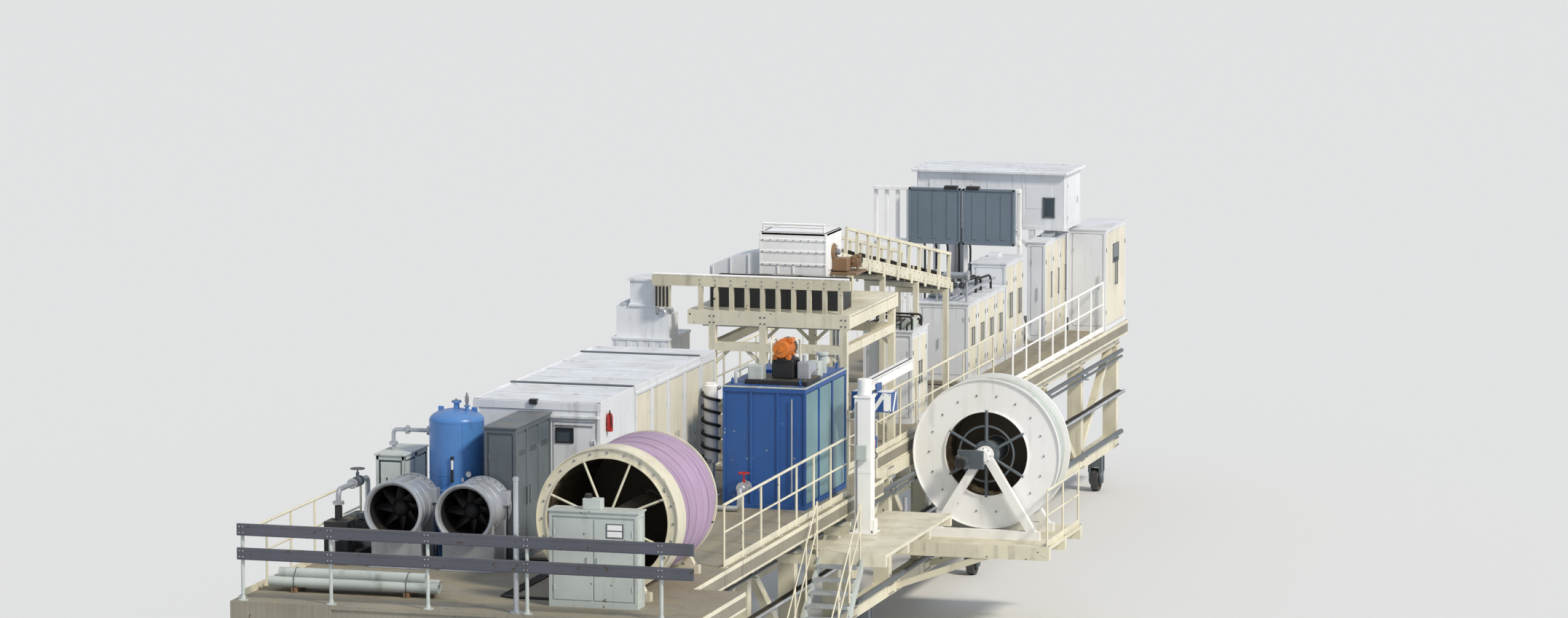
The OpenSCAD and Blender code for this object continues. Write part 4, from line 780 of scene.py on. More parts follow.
# Bearings, drives and anchor bolts of the two reels
for name, body, x, z, y0, y1, foot, paint in (
    ("hose_reel", "rear_gantry", reel_x, reel_z, reel_lo[1], reel_hi[1], DECK, cream),
    ("front_hose_reel", "mid_gantry", reel2_x, reel2_z, reel2_lo[1], reel2_hi[1], LOW_DECK, bright)):
    caps, heads, metal = [], [], []
    at = near(x, y0, z)
    for y, out in ((y0 - 0.2, -Y), (y1 + 0.2, Y)):
        caps.append(turning([(0.155, 0), (0.155, 0.02), (0.12, 0.035), (0.11, 0.07), (0.01, 0.075)],
                            [x, y + out[1]*0.002, z], out, 32))
        heads.append(bolts(round_places([x, y + out[1]*0.02, z], 0.135, 8, Y), out, 0.03, 0.02))
        heads.append(bolts([[x + k, y - out[1]*0.07, foot + 0.14] for k in (-0.74, -0.5, 0.5, 0.74)],
                           Z, 0.036, 0.03))
    drum, cowl = motor(at(-0.36, -0.46, -0.1), 0.11, 0.38)
    metal += [block(at(-0.5, -0.29, -0.26), at(0.02, -0.203, 0.1), 0.012),
              rod(at(-0.36, -0.32, -0.1), at(-0.36, -0.2, -0.1), 0.1)]
    put(name + "_bearing_caps", paint, body, *caps)
    put(name + "_stand_bolts", steel, body, *heads)
    put(name + "_drive", orange if body == "rear_gantry" else slate, body,
        turned(drum, Z, 180, at(-0.36, -0.46, 0)), *metal)
    put(name + "_drive_cowl", black, body, turned(cowl, Z, 180, at(-0.36, -0.46, 0)))


# Fans: bell mouths, bolted flanges, motor struts and rotors with twisted blades

def rotor(name, x, y, z, hub=0.15, tip=0.424, blades=8):
    """Axial rotor. A blade's section at radius r is a thin lens s -> (s, camber(s) +- thickness(s)),
    turned by a twist that falls from root to tip; the blade stands along Z and is repeated round Y."""
    outward = np.linspace(0, 1, 9)[:, None]
    t = np.linspace(0, 2*math.pi, 18, endpoint=False)[None]
    chord, twist = 0.205 - 0.05*outward, np.radians(60 - 32*outward)
    s = 0.5*chord*np.cos(t)
    d = chord*(0.045*np.sin(t) + 0.09*(1 - np.cos(t)**2))
    rings = np.stack([x + s*np.sin(twist) + d*np.cos(twist), y + s*np.cos(twist) - d*np.sin(twist),
                      z + (hub - 0.012 + (tip - hub + 0.012)*outward) + 0*s], -1)
    body = spun(skin(rings), Y, blades, [x, y, z])
    nose = turning([(0.01, -0.15), (0.06, -0.142), (0.11, -0.12), (0.14, -0.085), (hub, -0.05), (hub, 0.11),
                    (0.1, 0.112)], [x, y, z], Y, 40)
    made = put(name + "_blades", soot, name, body, nose,
               bolts(round_places([x, y - 0.112, z], 0.118, 6, Y), -Y, 0.02, 0.012))
    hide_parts(name)


fan_lo, fan_hi = corners("fan_casings")
fan_y, fan_z, fan_end = fan_lo[1], 4.6, fan_hi[1]
rims, heads, inside, lines, liners = [], [], [], [], []
for name in ("fan_rotor_left", "fan_rotor_right"):
    lo, hi = corners(name)
    x = (lo[0] + hi[0])/2
    at, far = near(x, fan_y, fan_z), near(x, fan_end, fan_z)
    rotor(name, x, (lo[1] + hi[1])/2, fan_z)
    rims.append(turning([(0.442, 0.03), (0.446, -0.01), (0.462, -0.04), (0.488, -0.052), (0.512, -0.044),
                         (0.516, -0.03), (0.498, -0.03), (0.488, -0.02), (0.488, 0.001)], at(0, 0, 0),
                        Y, 72, True))
    for k in (0.22, 0.5, 0.78):
        rims.append(turning([(0.468, k), (0.482, k + 0.004), (0.482, k + 0.026), (0.468, k + 0.03)],
                            at(0, 0, 0), Y, 72, True))
    rims.append(block(at(0.05, 0.12, 0.462), far(0.12, -0.12, 0.478)))
    rims += [torus(at(k, 0.5, 0.5), 0.035, 0.014, X, 20, 8) for k in (-0.2, 0.3)]
    for y, out in ((fan_y + 0.04, Y), (fan_end - 0.04, -Y), (fan_end, Y)):
        heads.append(bolts(round_places([x, y, fan_z], 0.487, 24, Y), out, 0.026, 0.014))
    heads.append(bolts([at(k, d, 0.478) for k in (0.065, 0.105) for d in np.arange(0.16, 0.86, 0.1)],
                       Z, 0.02, 0.01))
    for i in range(4):
        inside.append(turned(block(far(0.09, -0.36, -0.012), far(0.445, -0.16, 0.012)),
                             Y, 45 + 90*i, [x, 0, fan_z]))
    inside.append(turning([(0.06, 0), (0.105, 0.01), (0.105, 0.02), (0.102, 0.04)], far(0, -0.44, 0),
                          Y, 32))
    rims.append(block(at(0.38, 0.64, 0.06), at(0.54, 0.86, 0.3), 0.01))
    last = -1.5 if name == "fan_rotor_left" else -1.36
    lines.append(pipe([at(0.51, 0.75, 0.08), [x + 0.51, fan_y + 0.75, 3.66],
                       [x + 0.51, fan_end + 0.03, 3.66], [last, fan_end + 0.03, 3.66],
                       [last, -14.97, 3.66]], 0.03, 0.03, 8))
    liners.append(turning([(0.432, 0.05), (0.441, 0.05), (0.441, 0.93), (0.06, 0.93), (0.06, 0.92),
                           (0.432, 0.92)], at(0, 0, 0), Y, 72, True))
    for y in (fan_y + 0.18, fan_end - 0.18):
        rims.append(block([x - 0.5, y - 0.09, DECK], [x + 0.5, y + 0.09, PLATE_TOP]))
        heads.append(bolts([[x + s*0.47, y + k, PLATE_TOP] for s in (-1, 1) for k in (-0.06, 0.06)],
                           Z, 0.03, 0.02))
    rims.append(turning([(0.3, 0), (0.44, 0), (0.44, 0.04), (0.36, 0.1), (0.3, 0.12)], far(0, -0.002, 0),
                        Y, 48, True))
on_rear("fan_mouths_and_bands", zinc, *rims)
on_rear("fan_bolts", steel, *heads)
on_rear("fan_motor_struts", slate, *inside)
on_rear("fan_conduits", rubber, *lines)
on_rear("fan_liners", soot, *liners)

# Air receiver: weld seams, manhole, nozzles, safety valve, gauges and its pipe to the left
tank_lo, tank_hi = corners("air_receiver")
tx, ty, tr = (tank_lo[0] + tank_hi[0])/2, (tank_lo[1] + tank_hi[1])/2, (tank_hi[0] - tank_lo[0])/2
at = near(tx, ty)
seam_z = (tank_hi[2] - 0.2, (tank_hi[2] + 3.92)/2, 3.92)
shell = [torus(at(0, 0, z), tr, 0.012, Z, 72, 6) for z in seam_z]
a = math.radians(-60)
shell.append(rod(at(tr*math.cos(a), tr*math.sin(a), 3.93),
                 at(tr*math.cos(a), tr*math.sin(a), tank_hi[2] - 0.2), 0.012, 6))
hole = turning([(0.17, 0), (0.21, 0), (0.21, 0.05), (0.24, 0.05), (0.24, 0.1), (0.05, 0.115),
                (0.01, 0.115)], at(-0.1, -tr + 0.03, 4.55), -Y, 40)
top = tank_hi[2]
shell += [hole, turning([(0.05, -0.06), (0.05, 0.1), (0.085, 0.1), (0.085, 0.13), (0.01, 0.13)],
                        at(0, 0, top), Z, 24),
          turning([(0.03, -0.08), (0.03, 0.08), (0.055, 0.08), (0.055, 0.1), (0.01, 0.1)],
                  at(0.22, -0.1, top - 0.03), Z, 20)]
shell += [block(at(s*0.3 - 0.05, 0.05, top - 0.09), at(s*0.3 + 0.05, 0.07, top + 0.02)) for s in (-1, 1)]
shell.append(turning([(0.3, 0), (0.42, 0), (0.42, 0.02), (0.345, 0.02), (0.345, 0.1)], at(0, 0, DECK)))
on_rear("receiver_fittings", enamel, *shell)
heads = [bolts(round_places(at(-0.1, -tr - 0.07, 4.55), 0.215, 12, Y), -Y, 0.03, 0.02),
         bolts(round_places(at(0, 0, top + 0.13), 0.067, 8, Z), Z, 0.02, 0.012),
         bolts(round_places(at(0, 0, 3.62), 0.385, 8, Z), Z, 0.03, 0.03)]
lines = [pipe([at(0.22, -0.1, top + 0.05), at(0.22, -0.1, top + 0.16)], 0.05, 0.02),
         turning([(0.02, 0), (0.035, 0.01), (0.035, 0.09), (0.02, 0.13), (0.012, 0.17)],
                 at(0.22, -0.1, top + 0.12), Z, 16),
         rod(at(0, -0.02, top + 0.12), at(0, -0.02, top + 0.17), 0.03, 10)]
on_rear("receiver_bolts", steel, *heads, *lines)
air = pipe([at(-tr + 0.05, 0.1, 5.7), [-3.66, ty + 0.1, 5.7], [-3.66, ty + 0.1, 5.4],
            [-3.66, ty + 0.1, 5.3]], 0.07, 0.09, 16)
flanges = [flange(at(-tr - 0.06, 0.1, 5.7), X, 0.16), flange([-3.4, ty + 0.1, 5.7], X, 0.15),
           flange([-3.66, ty + 0.1, 5.46], Z, 0.15)]
on_rear("receiver_pipe", zinc, air, *flanges)
dial = turning([(0.058, 0), (0.058, 0.028), (0.05, 0.034), (0.048, 0.026), (0.005, 0.026)],
               at(0.34, -tr + 0.09, 5.05), -Y, 28)
on_rear("receiver_gauge_ring", steel, dial,
        rod(at(0.34, -tr + 0.1, 5.05), at(0.3, -tr + 0.22, 5.05), 0.016, 8))
on_rear("receiver_gauge_tube", bright,
        turning([(0.045, -0.027), (0.005, -0.0275)], at(0.34, -tr + 0.09, 5.05), Y, 28),
        rod(at(0.08, -tr - 0.03, 5.13), at(0.08, -tr - 0.03, 5.32), 0.04, 12))
on_rear("receiver_gauge_cocks", black,
        rod(at(0.08, -tr - 0.03, 4.93), at(0.08, -tr - 0.03, 5.14), 0.045, 12),
        *[join(rod(at(0.08, -tr - 0.03, z), at(0.06, -tr + 0.03, z), 0.028, 10),
               block(at(0.055, -tr - 0.055, z - 0.03), at(0.105, -tr, z + 0.03))) for z in (4.95, 5.33)])

# Pump set on the left edge of the platform
pump_lo, pump_hi = corners("pump_set")
px, py = (pump_lo[0] + pump_hi[0])/2, pump_lo[1]
at = near(px, py)
drum, cowl = motor(at(0, 1.02, 4.08), 0.235, 0.62)
on_rear("pump_motor", slate, drum)
volute = turning([(0.05, -0.1), (0.2, -0.1), (0.26, -0.05), (0.27, 0.02), (0.24, 0.08), (0.1, 0.1),
                  (0.02, 0.1)], at(0, 0.32, 4.08), Y, 36)
on_rear("pump_casing", black, cowl, volute, rod(at(-0.02, 0.3, 4.3), at(-0.02, 0.3, 4.56), 0.13, 20),
        block(at(-0.13, 0.48, 3.75), at(0.13, 0.66, 4.28), 0.03))
on_rear("pump_pipes", zinc,
        pipe([at(0, 0.16, 4.08), at(0, -0.1, 4.08), at(0, -0.1, 3.72), at(0.35, -0.1, 3.72)],
             0.11, 0.1, 16),
        pipe([at(-0.02, 0.3, 4.5), at(-0.02, 0.3, 4.82), at(-0.02, 1.8, 4.82), at(-0.02, 1.8, 3.66)],
             0.09, 0.12, 16), flange(at(0, 0.1, 4.08), Y, 0.22), flange(at(-0.02, 0.3, 4.6), Z, 0.2),
        flange(at(-0.02, 1.0, 4.82), Y, 0.18))
on_rear("pump_valve", slate, handwheel(at(-0.02, 1.28, 5.04), Z, 0.24))
on_rear("pump_valve_body", slate,
        turning([(0.04, -0.12), (0.09, -0.12), (0.09, -0.08), (0.07, -0.05), (0.09, 0), (0.07, 0.05),
                 (0.09, 0.08), (0.09, 0.12), (0.04, 0.12)], at(-0.02, 1.28, 4.82), Y, 24),
        rod(at(-0.02, 1.28, 4.84), at(-0.02, 1.28, 4.98), 0.06, 14))

# Pipes stored across the left platform: open tubes with plain ends, on two bearers with straps
pile_lo, pile_hi = corners("stored_pipes")
pile_z = pile_lo[2] + 0.0803 + 0.085
tubes = [(pile_lo[0] + 0.04*i, pile_hi[0] - 0.05*i, pile_lo[1] + 0.085 + 0.18*i, pile_z) for i in range(3)]
tubes.append((pile_lo[0] + 0.15, pile_hi[0] - 0.25, pile_lo[1] + 0.175, pile_hi[2] - 0.085))
made = on_rear("stored_pipe_tubes", pale,
               *[turning([(0.072, 0), (0.085, 0), (0.085, b - a), (0.072, b - a)], [a, y, z], X, 28, True)
                 for a, b, y, z in tubes])
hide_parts("stored_pipes")
bearers = [pile_lo[0] + 0.4, pile_hi[0] - 0.6]
on_rear("stored_pipe_bearers", brown,
        *[block([x, pile_lo[1], DECK], [x + 0.1, pile_hi[1], 3.68]) for x in bearers])
on_rear("stored_pipe_straps", black,
        *[pipe([[x + 0.05, pile_lo[1] - 0.001, 3.62], [x + 0.05, pile_lo[1] - 0.001, pile_z + 0.05],
                [x + 0.05, pile_lo[1] + 0.13, pile_hi[2] + 0.001],
                [x + 0.05, pile_lo[1] + 0.24, pile_hi[2] + 0.001],
                [x + 0.05, pile_hi[1] + 0.001, pile_z + 0.06], [x + 0.05, pile_hi[1] + 0.001, 3.62]],
               0.012, 0.05, 8) for x in bearers])

# Mixing tank: lid seams, hatch, lugs, rim bolts, ladder, level pipe and outlet
(mx0, my0, _), (mx1, my1, mz1) = corners("mixing_tank")
at, right, low, low_right = near(mx0, my0, mz1), near(mx1, my0, mz1), near(mx0, my0), near(mx1, my0)
lid = [block(at(0.06, 0.06, -0.002), [mx1 - 0.06, my1 - 0.06, mz1 + 0.012])]
lid += [block(at(0.25, 1.45, 0.01), at(0.95, 2.15, 0.09), 0.015),
        block(at(0.22, 1.42, 0.09), at(0.98, 2.18, 0.12), 0.01)]
lid += [torus([x, y, mz1 + 0.07], 0.05, 0.025, X, 24, 8) for x in (mx0 + 0.14, mx1 - 0.14)
        for y in (my0 + 0.16, my1 - 0.16)]
lid += [block(low((mx1 - mx0 - 0.05)*k/3, 0.003, 3.69), at((mx1 - mx0 - 0.05)*k/3 + 0.05, 0.031, -0.1))
        for k in range(4)]
on_rear("mixing_tank_lid", deep_blue, *lid)
bay = (my1 - my0 - 0.06)/3
# Side panels in the lighter blue: painted sunlight on the tank's right side
on_rear("mixing_tank_side", sunlit_blue,
        *[block(low_right(-0.031, bay*i + 0.08, 3.7), right(-0.016, bay*(i + 1) - 0.02, -0.13))
          for i in range(3)])
on_rear("mixing_tank_edge", pale,
        *[block([x, my0 - 0.004, mz1 - 0.025], [x + 0.012, my1 + 0.004, mz1 + 0.006])
          for x in (mx0 - 0.004, mx1 - 0.008)],
        *[block([mx0, y, mz1 - 0.025], [mx1, y + 0.012, mz1 + 0.006]) for y in (my0 - 0.004, my1 - 0.008)])
on_rear("mixing_tank_instruments", pale,
        block(at(0.4, 0.24, 0.09), at(0.68, 0.46, 0.34), 0.015),
        block(right(-0.34, 1.25, 0.01), right(-0.1, 1.55, 0.3), 0.015),
        rod(right(-0.22, 1.95, 0), right(-0.22, 1.95, 0.34), 0.16, 24),
        rod(right(-0.22, 1.95, 0.33), right(-0.22, 1.95, 0.4), 0.22, 24),
        pipe([right(-0.22, 1.55, 0.16), right(-0.22, 1.87, 0.16)], 0.05, 0.05),
        pipe([at(0.16, 0.3, 0), at(0.16, 0.3, 0.22), at(0.16, 1.2, 0.22),
              at(0.16, 1.2, 0)], 0.06, 0.08))
rim = [[x, my0 + 0.05 + k*(my1 - my0 - 0.1)/20, mz1 + 0.001]
       for x in (mx0 + 0.03, mx1 - 0.03) for k in range(21)]
rim += [[mx0 + 0.05 + k*(mx1 - mx0 - 0.1)/11, y, mz1 + 0.001]
        for y in (my0 + 0.03, my1 - 0.03) for k in range(12)]
on_rear("mixing_tank_bolts", steel, bolts(rim, Z, 0.03, 0.014),
        pipe([at(0.45, 1.66, 0.12), at(0.45, 1.66, 0.17), at(0.45, 1.94, 0.17),
              at(0.45, 1.94, 0.12)], 0.02, 0.02, 8))
rungs = [rod([mx0 + 0.18, my1 + 0.16, z], [mx0 + 0.62, my1 + 0.16, z], 0.026, 10)
         for z in np.arange(3.85, 5.8, 0.3)]
rungs += [pipe([[x, my1 + 0.16, DECK], [x, my1 + 0.16, mz1 + 0.5], [x, my1 - 0.25, mz1 + 0.5],
                [x, my1 - 0.25, mz1 + 0.01]], 0.04, 0.15) for x in (mx0 + 0.18, mx0 + 0.62)]
on_rear("mixing_tank_ladder", cream, *rungs)
on_rear("mixing_tank_outlet", zinc,
        rod(low(0.45, 0.04, 4.0), low(0.45, -0.34, 4.0), 0.12, 20), flange(low(0.45, -0.07, 4.0), Y, 0.22),
        flange(low(0.45, -0.3, 4.0), Y, 0.22),
        pipe([low(0.45, -0.34, 4.0), low(0.45, -0.46, 4.0), low(0.45, -0.46, 3.66), low(-0.2, -0.46, 3.66)],
             0.1, 0.1, 16),
        rod(low_right(-0.25, -0.02, 3.9), low_right(-0.25, -0.02, 5.6), 0.03, 12))
on_rear("mixing_tank_valve", red, handwheel(low(0.45, -0.19, 4.26), Z, 0.2),
        rod(low(0.45, -0.19, 4.02), low(0.45, -0.19, 4.16), 0.05, 12))

# Mixer drive: gearbox under a motor along Y, with a pump beside it on one plate
base_z = mz1 + 0.001
drive = near(mx0, my0, base_z)
drum, cowl = motor(drive(0.96, 0.7, 0.62), 0.17, 0.56)
plate = block(drive(0.35, 0.2, 0), low_right(-0.02, 1.1, base_z + 0.09), 0.012)
gear = [block(drive(0.78, 0.5, 0.085), drive(1.18, 0.9, 0.42), 0.03),
        turning([(0.02, 0), (0.24, 0), (0.24, 0.03), (0.17, 0.05), (0.15, 0.08), (0.02, 0.08)],
                drive(0.98, 0.7, 0.41), Z, 32)]
gear += [block(drive(0.76, 0.5 + k, 0.1), drive(1.2, 0.52 + k, 0.4), 0.004)
         for k in (0.06, 0.16, 0.26, 0.34)]
made = on_rear("mixer_motor", orange, drum)
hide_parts("mixer_drive")
on_rear("mixer_gearbox", black, plate, cowl, *gear)
pump = [block(drive(1.24, 0.5, 0.085), drive(1.48, 0.62, 0.4), 0.02),
        turning([(0.02, 0), (0.12, 0), (0.135, 0.03), (0.135, 0.3), (0.1, 0.34), (0.02, 0.35)],
                drive(1.36, 0.62, 0.24), Y, 28),
        rod(drive(1.36, 0.56, 0.38), drive(1.36, 0.56, 0.52), 0.07)]
on_rear("mixer_pump", zinc, *pump)
on_rear("mixer_drive_bolts", steel,
        bolts([[x, y, base_z + 0.09] for x in (mx0 + 0.42, mx0 + 0.7, mx1 - 0.08)
               for y in (my0 + 0.27, my0 + 1.03)], Z, 0.034, 0.022),
        bolts(round_places(drive(0.98, 0.7, 0.44), 0.205, 10, Z), Z, 0.026, 0.014))

# Jib: base bolts, ribs at the foot, end plate, wire, the hoist's stripes and its hook
col_lo, col_hi = corners("jib_column")
jx, jy, jtop = (col_lo[0] + col_hi[0])/2, (col_lo[1] + col_hi[1])/2, 5.5
at = near(jx, jy)
foot = [block([jx + s*0.15 if s > 0 else jx - 0.22, jy + k - 0.008, 3.03],
              [jx + 0.22 if s > 0 else jx - 0.15, jy + k + 0.008, 3.25])
        for s in (-1, 1) for k in (-0.1, 0.1)]
foot += [block(at(-0.17, -0.17, jtop - 0.03), at(0.17, 0.17, jtop + 0.001)),
         block(at(-0.16, -0.156, 4.1), at(0.16, -0.149, 4.16))]
on_rear("jib_column_trim", bright, *foot)
on_rear("jib_column_bolts", steel,
        bolts([at(s*0.19, k*0.19, 3.03) for s in (-1, 1) for k in (-1, 1)], Z, 0.044, 0.04),
        rod(at(-0.1, -0.17, 3.1), at(-0.1, -0.17, 5.4), 0.025, 10))
on_rear("jib_switch_box", pale, block(at(-0.1, -0.24, 4.35), at(0.1, -0.15, 4.62), 0.012))
arm_hi = corners("jib_arm")[1]
z_arm = jtop + 0.048
put("jib_arm_trim", bright, "jib_arm",
    block([jx - 0.08, arm_hi[1] - 0.012, z_arm], [jx + 0.08, arm_hi[1], z_arm + 0.2]),
    torus(at(0, 0, z_arm + 0.24), 0.115, 0.02, Z, 40, 8),
    *[block([jx - 0.068, y, z_arm + 0.018], [jx + 0.068, y + 0.012, z_arm + 0.182])
      for y in (jy + 0.2, jy + 0.34)])
put("jib_arm_wire", rubber, "jib_arm",
    rod(at(0.055, 0.15, z_arm + 0.212), [jx + 0.055, arm_hi[1] - 0.03, z_arm + 0.212], 0.018, 8))
(hx0, hy0, _), (hx1, hy1, _) = corners("jib_hoist")
hoist = near(hx0, hy0)
hz0, hz1 = z_arm - 0.42, z_arm - 0.06


def stripe(face, lean=0.22, w=0.085):
    """Slanting band on an upright face: its foot at (x, y), its top carried along the face by lean."""
    (x, y), (ax, ay), out = face
    foot = np.array([[x, y], [x + ax*w, y + ay*w], [x + ax*w + out[0], y + ay*w + out[1]],
                     [x + out[0], y + out[1]]])
    top = foot + lean*np.array([ax, ay])
    return skin(np.array([np.column_stack([ring, np.full(4, z)])
                          for ring, z in ((foot, hz0 + 0.01), (top, hz1 - 0.01))]))


faces = [((hx0 + 0.02 + 0.17*i, y), (1, 0), (0, s*0.004)) for i in range(3)
         for y, s in ((hy0, -1), (hy1, 1))]
faces += [((x, hy0 + 0.02), (0, 1), (s*0.004, 0)) for x, s in ((hx0, -1), (hx1, 1))]
put("hoist_white_bands", bright, "jib_hoist", *[stripe(f) for f in faces],
    block(hoist(0.6, -0.003, hz0 + 0.02), [hx1 - 0.02, hy0 + 0.002, hz1 - 0.02]),
    block(hoist(0.02, 0.02, hz1 - 0.002), [hx1 - 0.02, hy1 - 0.02, hz1 + 0.004]))
hook_z = z_arm - 1.1
curve = np.linspace(math.radians(100), math.radians(-170), 26)
hook = np.column_stack([jx + 0.055*np.cos(curve), np.full(26, hy0 + 0.18),
                        hook_z - 0.14 + 0.055*np.sin(curve)])
hook = np.concatenate([[[jx, hy0 + 0.18, hook_z + 0.02]], [[jx, hy0 + 0.18, hook_z - 0.05]], hook])
put("hoist_hook", steel, "jib_hoist", tube(hook, np.linspace(0.017, 0.009, len(hook)), 10),
    *[bolts([hoist(0.05 + 0.11*k, 0, z) for k in range(7)], -Y, 0.022, 0.012)
      for z in (hz0 + 0.04, hz1 - 0.04)])
put("hoist_block_cheeks", orange, "jib_hoist",
    turning([(0.02, -0.035), (0.085, -0.035), (0.095, -0.02), (0.095, 0.02), (0.085, 0.035), (0.02, 0.035)],
            [jx, hy0 + 0.18, hook_z + 0.08], X, 28))

# Stair: handrails on both sides and ribbed tread edges
stair_y = corners("access_stair")[1][1]
GOING, RISE, STEPS = 0.22, 0.2, range(11)
nose = []
for i in STEPS:
    y, z = stair_y - GOING*i, 3.0 - RISE*(i + 1)
    nose.append(block([2.51, y - 0.262, z - 0.045], [3.24, y - 0.25, z + 0.006]))
    nose += [block([2.51, y - 0.05 - 0.045*k, z - 0.001], [3.24, y - 0.04 - 0.045*k, z + 0.006])
             for k in range(5)]
on_rear("stair_tread_bars", zinc, *nose)
rails = []
for x in (2.48, 3.27):
    feet = [[x, stair_y - 0.15 - 10*GOING*k, 2.93 - 10*RISE*k] for k in (0.0, 0.33, 0.66, 0.96)]
    rails += [rod(f, [f[0], f[1], f[2] + 1.0], 0.04, 12) for f in feet]
    for up in (0.52, 1.0):
        rails.append(rod([x, feet[0][1] + 0.02, feet[0][2] + up], [x, feet[-1][1] - 0.02, feet[-1][2] + up],
                         0.038, 12))
on_rear("stair_handrails", cream, *rails)


def railing_line(x, y0, y1, z):
    """Foot plates, nuts and toe board of a railing along Y; posts stand as the railing's own do."""
    l = y1 - y0 - 0.048
    n = max(1, round(l/1.2))
    places = np.array([[x, y0 + 0.024 + l*i/n, z] for i in range(n + 1)])
    plates = copies(block([-0.06, -0.06, 0], [0.06, 0.06, 0.012], 0.003), places)
    corner = np.array([[s, k, 0.012] for s in (-0.042, 0.042) for k in (-0.042, 0.042)])
    nuts = bolts((places[:, None] + corner[None]).reshape(-1, 3), Z, 0.024, 0.018)
    return join(plates, block([x - 0.005, y0, z + 0.001], [x + 0.005, y1, z + 0.12], 0.002)), nuts


front_x = corners("front_railings")[0][0] + 0.024
rack_lo, rack_hi = corners("panel_rack")
LINES = {  # body: lines of (x, from y, to y, level), and their paint
    "rear_gantry": ([(2.3, -14.46, -6.4, DECK), (-4.54, -19.3, -13.4, DECK)], cream),
    "mid_gantry": ([(-3.14, -1.6, 7.94, DECK), (1.52, -3.4, 7.94, DECK),
                    (4.54, -0.14, 2.54, LOW_DECK)], cream),
    "front_gantry": ([(1.74, 8.66, share(BOOTH) - 0.06, DECK), (front_x, 8.66, rack_hi[1] - 0.3, DECK),
                      (front_x, rack_hi[1] + 0.04, 19.21, DECK)], bright),
}
for body, (lines, paint) in LINES.items():
    made = [railing_line(*line) for line in lines]
    put(body + "_railing_feet", paint, body, *[m[0] for m in made])
    put(body + "_railing_nuts", steel, body, *[m[1] for m in made])

gy = corners("rear_guardrail")[0][1]
xs = -4.5 + 7.8*np.array([0.01, 0.206, 0.42, 0.637, 0.928])
rails = [block([-4.5, gy, z], [3.3, gy + 0.05, z + 0.2], 0.012) for z in (4.28, 4.68)]
rails += [block([-4.49, gy - 0.004, z + k], [3.29, gy + 0.002, z + k + 0.03])
          for z in (4.28, 4.68) for k in (0.02, 0.15)]
made = on_rear("guardrail_rails", rail_dark, *rails)
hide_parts("rear_guardrail")
on_rear("guardrail_posts", pale, *[rod([x, gy + 0.08, DECK], [x, gy + 0.08, 4.86], 0.06, 20) for x in xs],
        *[turning([(0.03, 0), (0.09, 0), (0.09, 0.012), (0.045, 0.03), (0.03, 0.09)], [x, gy + 0.08, DECK],
                  Z, 24) for x in xs])
on_rear("guardrail_pole", zinc, rod([0.27, gy + 0.12, DECK], [0.27, gy + 0.12, 5.83], 0.09, 24),
        turning([(0.044, 0), (0.12, 0), (0.12, 0.014), (0.055, 0.03), (0.044, 0.12)],
                [0.27, gy + 0.12, DECK], Z, 24),
        turning([(0.046, 0), (0.052, 0.004), (0.052, 0.05), (0.01, 0.07)], [0.27, gy + 0.12, 5.765], Z, 24))
on_rear("guardrail_bolts", steel,
        bolts([[x + s*0.03, gy, z] for x in xs for s in (-1, 1) for z in (4.33, 4.43, 4.73, 4.83)],
              -Y, 0.03, 0.014),
        bolts([[x + a, gy + 0.08 + b, 3.612] for x in xs
               for a, b in ((0.065, 0.03), (-0.065, 0.03), (0.065, -0.03), (-0.065, -0.03))],
              Z, 0.024, 0.018))

# Post with a hose wound on its drum: a helix R cos a, R sin a that falls evenly with a
post_lo, post_hi = corners("hose_rack")
cx, cy = (post_lo[0] + post_hi[0])/2, (post_lo[1] + post_hi[1])/2
at = near(cx, cy)
made = on_rear("hose_post", bright, block(at(-0.05, -0.05, DECK), at(0.05, 0.05, 4.21)),
               rod(at(0, 0, 4.2), at(0, 0, 5.64), 0.256, 32),
               block(at(-0.08, -0.08, 5.64), at(0.08, 0.08, 5.67)),
               block(at(-0.14, -0.14, DECK), at(0.14, 0.14, 3.615)))
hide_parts("hose_rack")
a = np.linspace(0, 2*math.pi*5.75, 276)
helix = np.column_stack(at(0.155*np.cos(a), 0.155*np.sin(a), 5.58 - 1.33*a/a[-1]))
on_rear("hose_post_coils", rubber, tube(helix, 0.028, 10))
on_rear("hose_post_couplings", steel,
        *[rod(helix[k] - 0.04*way, helix[k] + 0.04*way, 0.062, 14) for k, way in ((0, Y), (-1, X))])

# Cable ducts on the decks, each with a junction box
for body, spots in (("rear_gantry", ((-2.75, -11.6), (-2.75, -8.2))),
                    ("mid_gantry", ((-2.2, 3.6), (-2.2, 6.4))),
                    ("front_gantry", ((-1.7, 10.2), (-1.7, 12.0)))):
    trunk = [block([x, y, DECK + 0.001], [x + 0.1, y + 1.6, DECK + 0.1], 0.01) for x, y in spots]
    trunk += [block([x - 0.05, y + 0.5, DECK + 0.09], [x + 0.15, y + 0.9, DECK + 0.42], 0.012)
              for x, y in spots]
    put(body + "_cable_ducts", pale, body, *trunk)

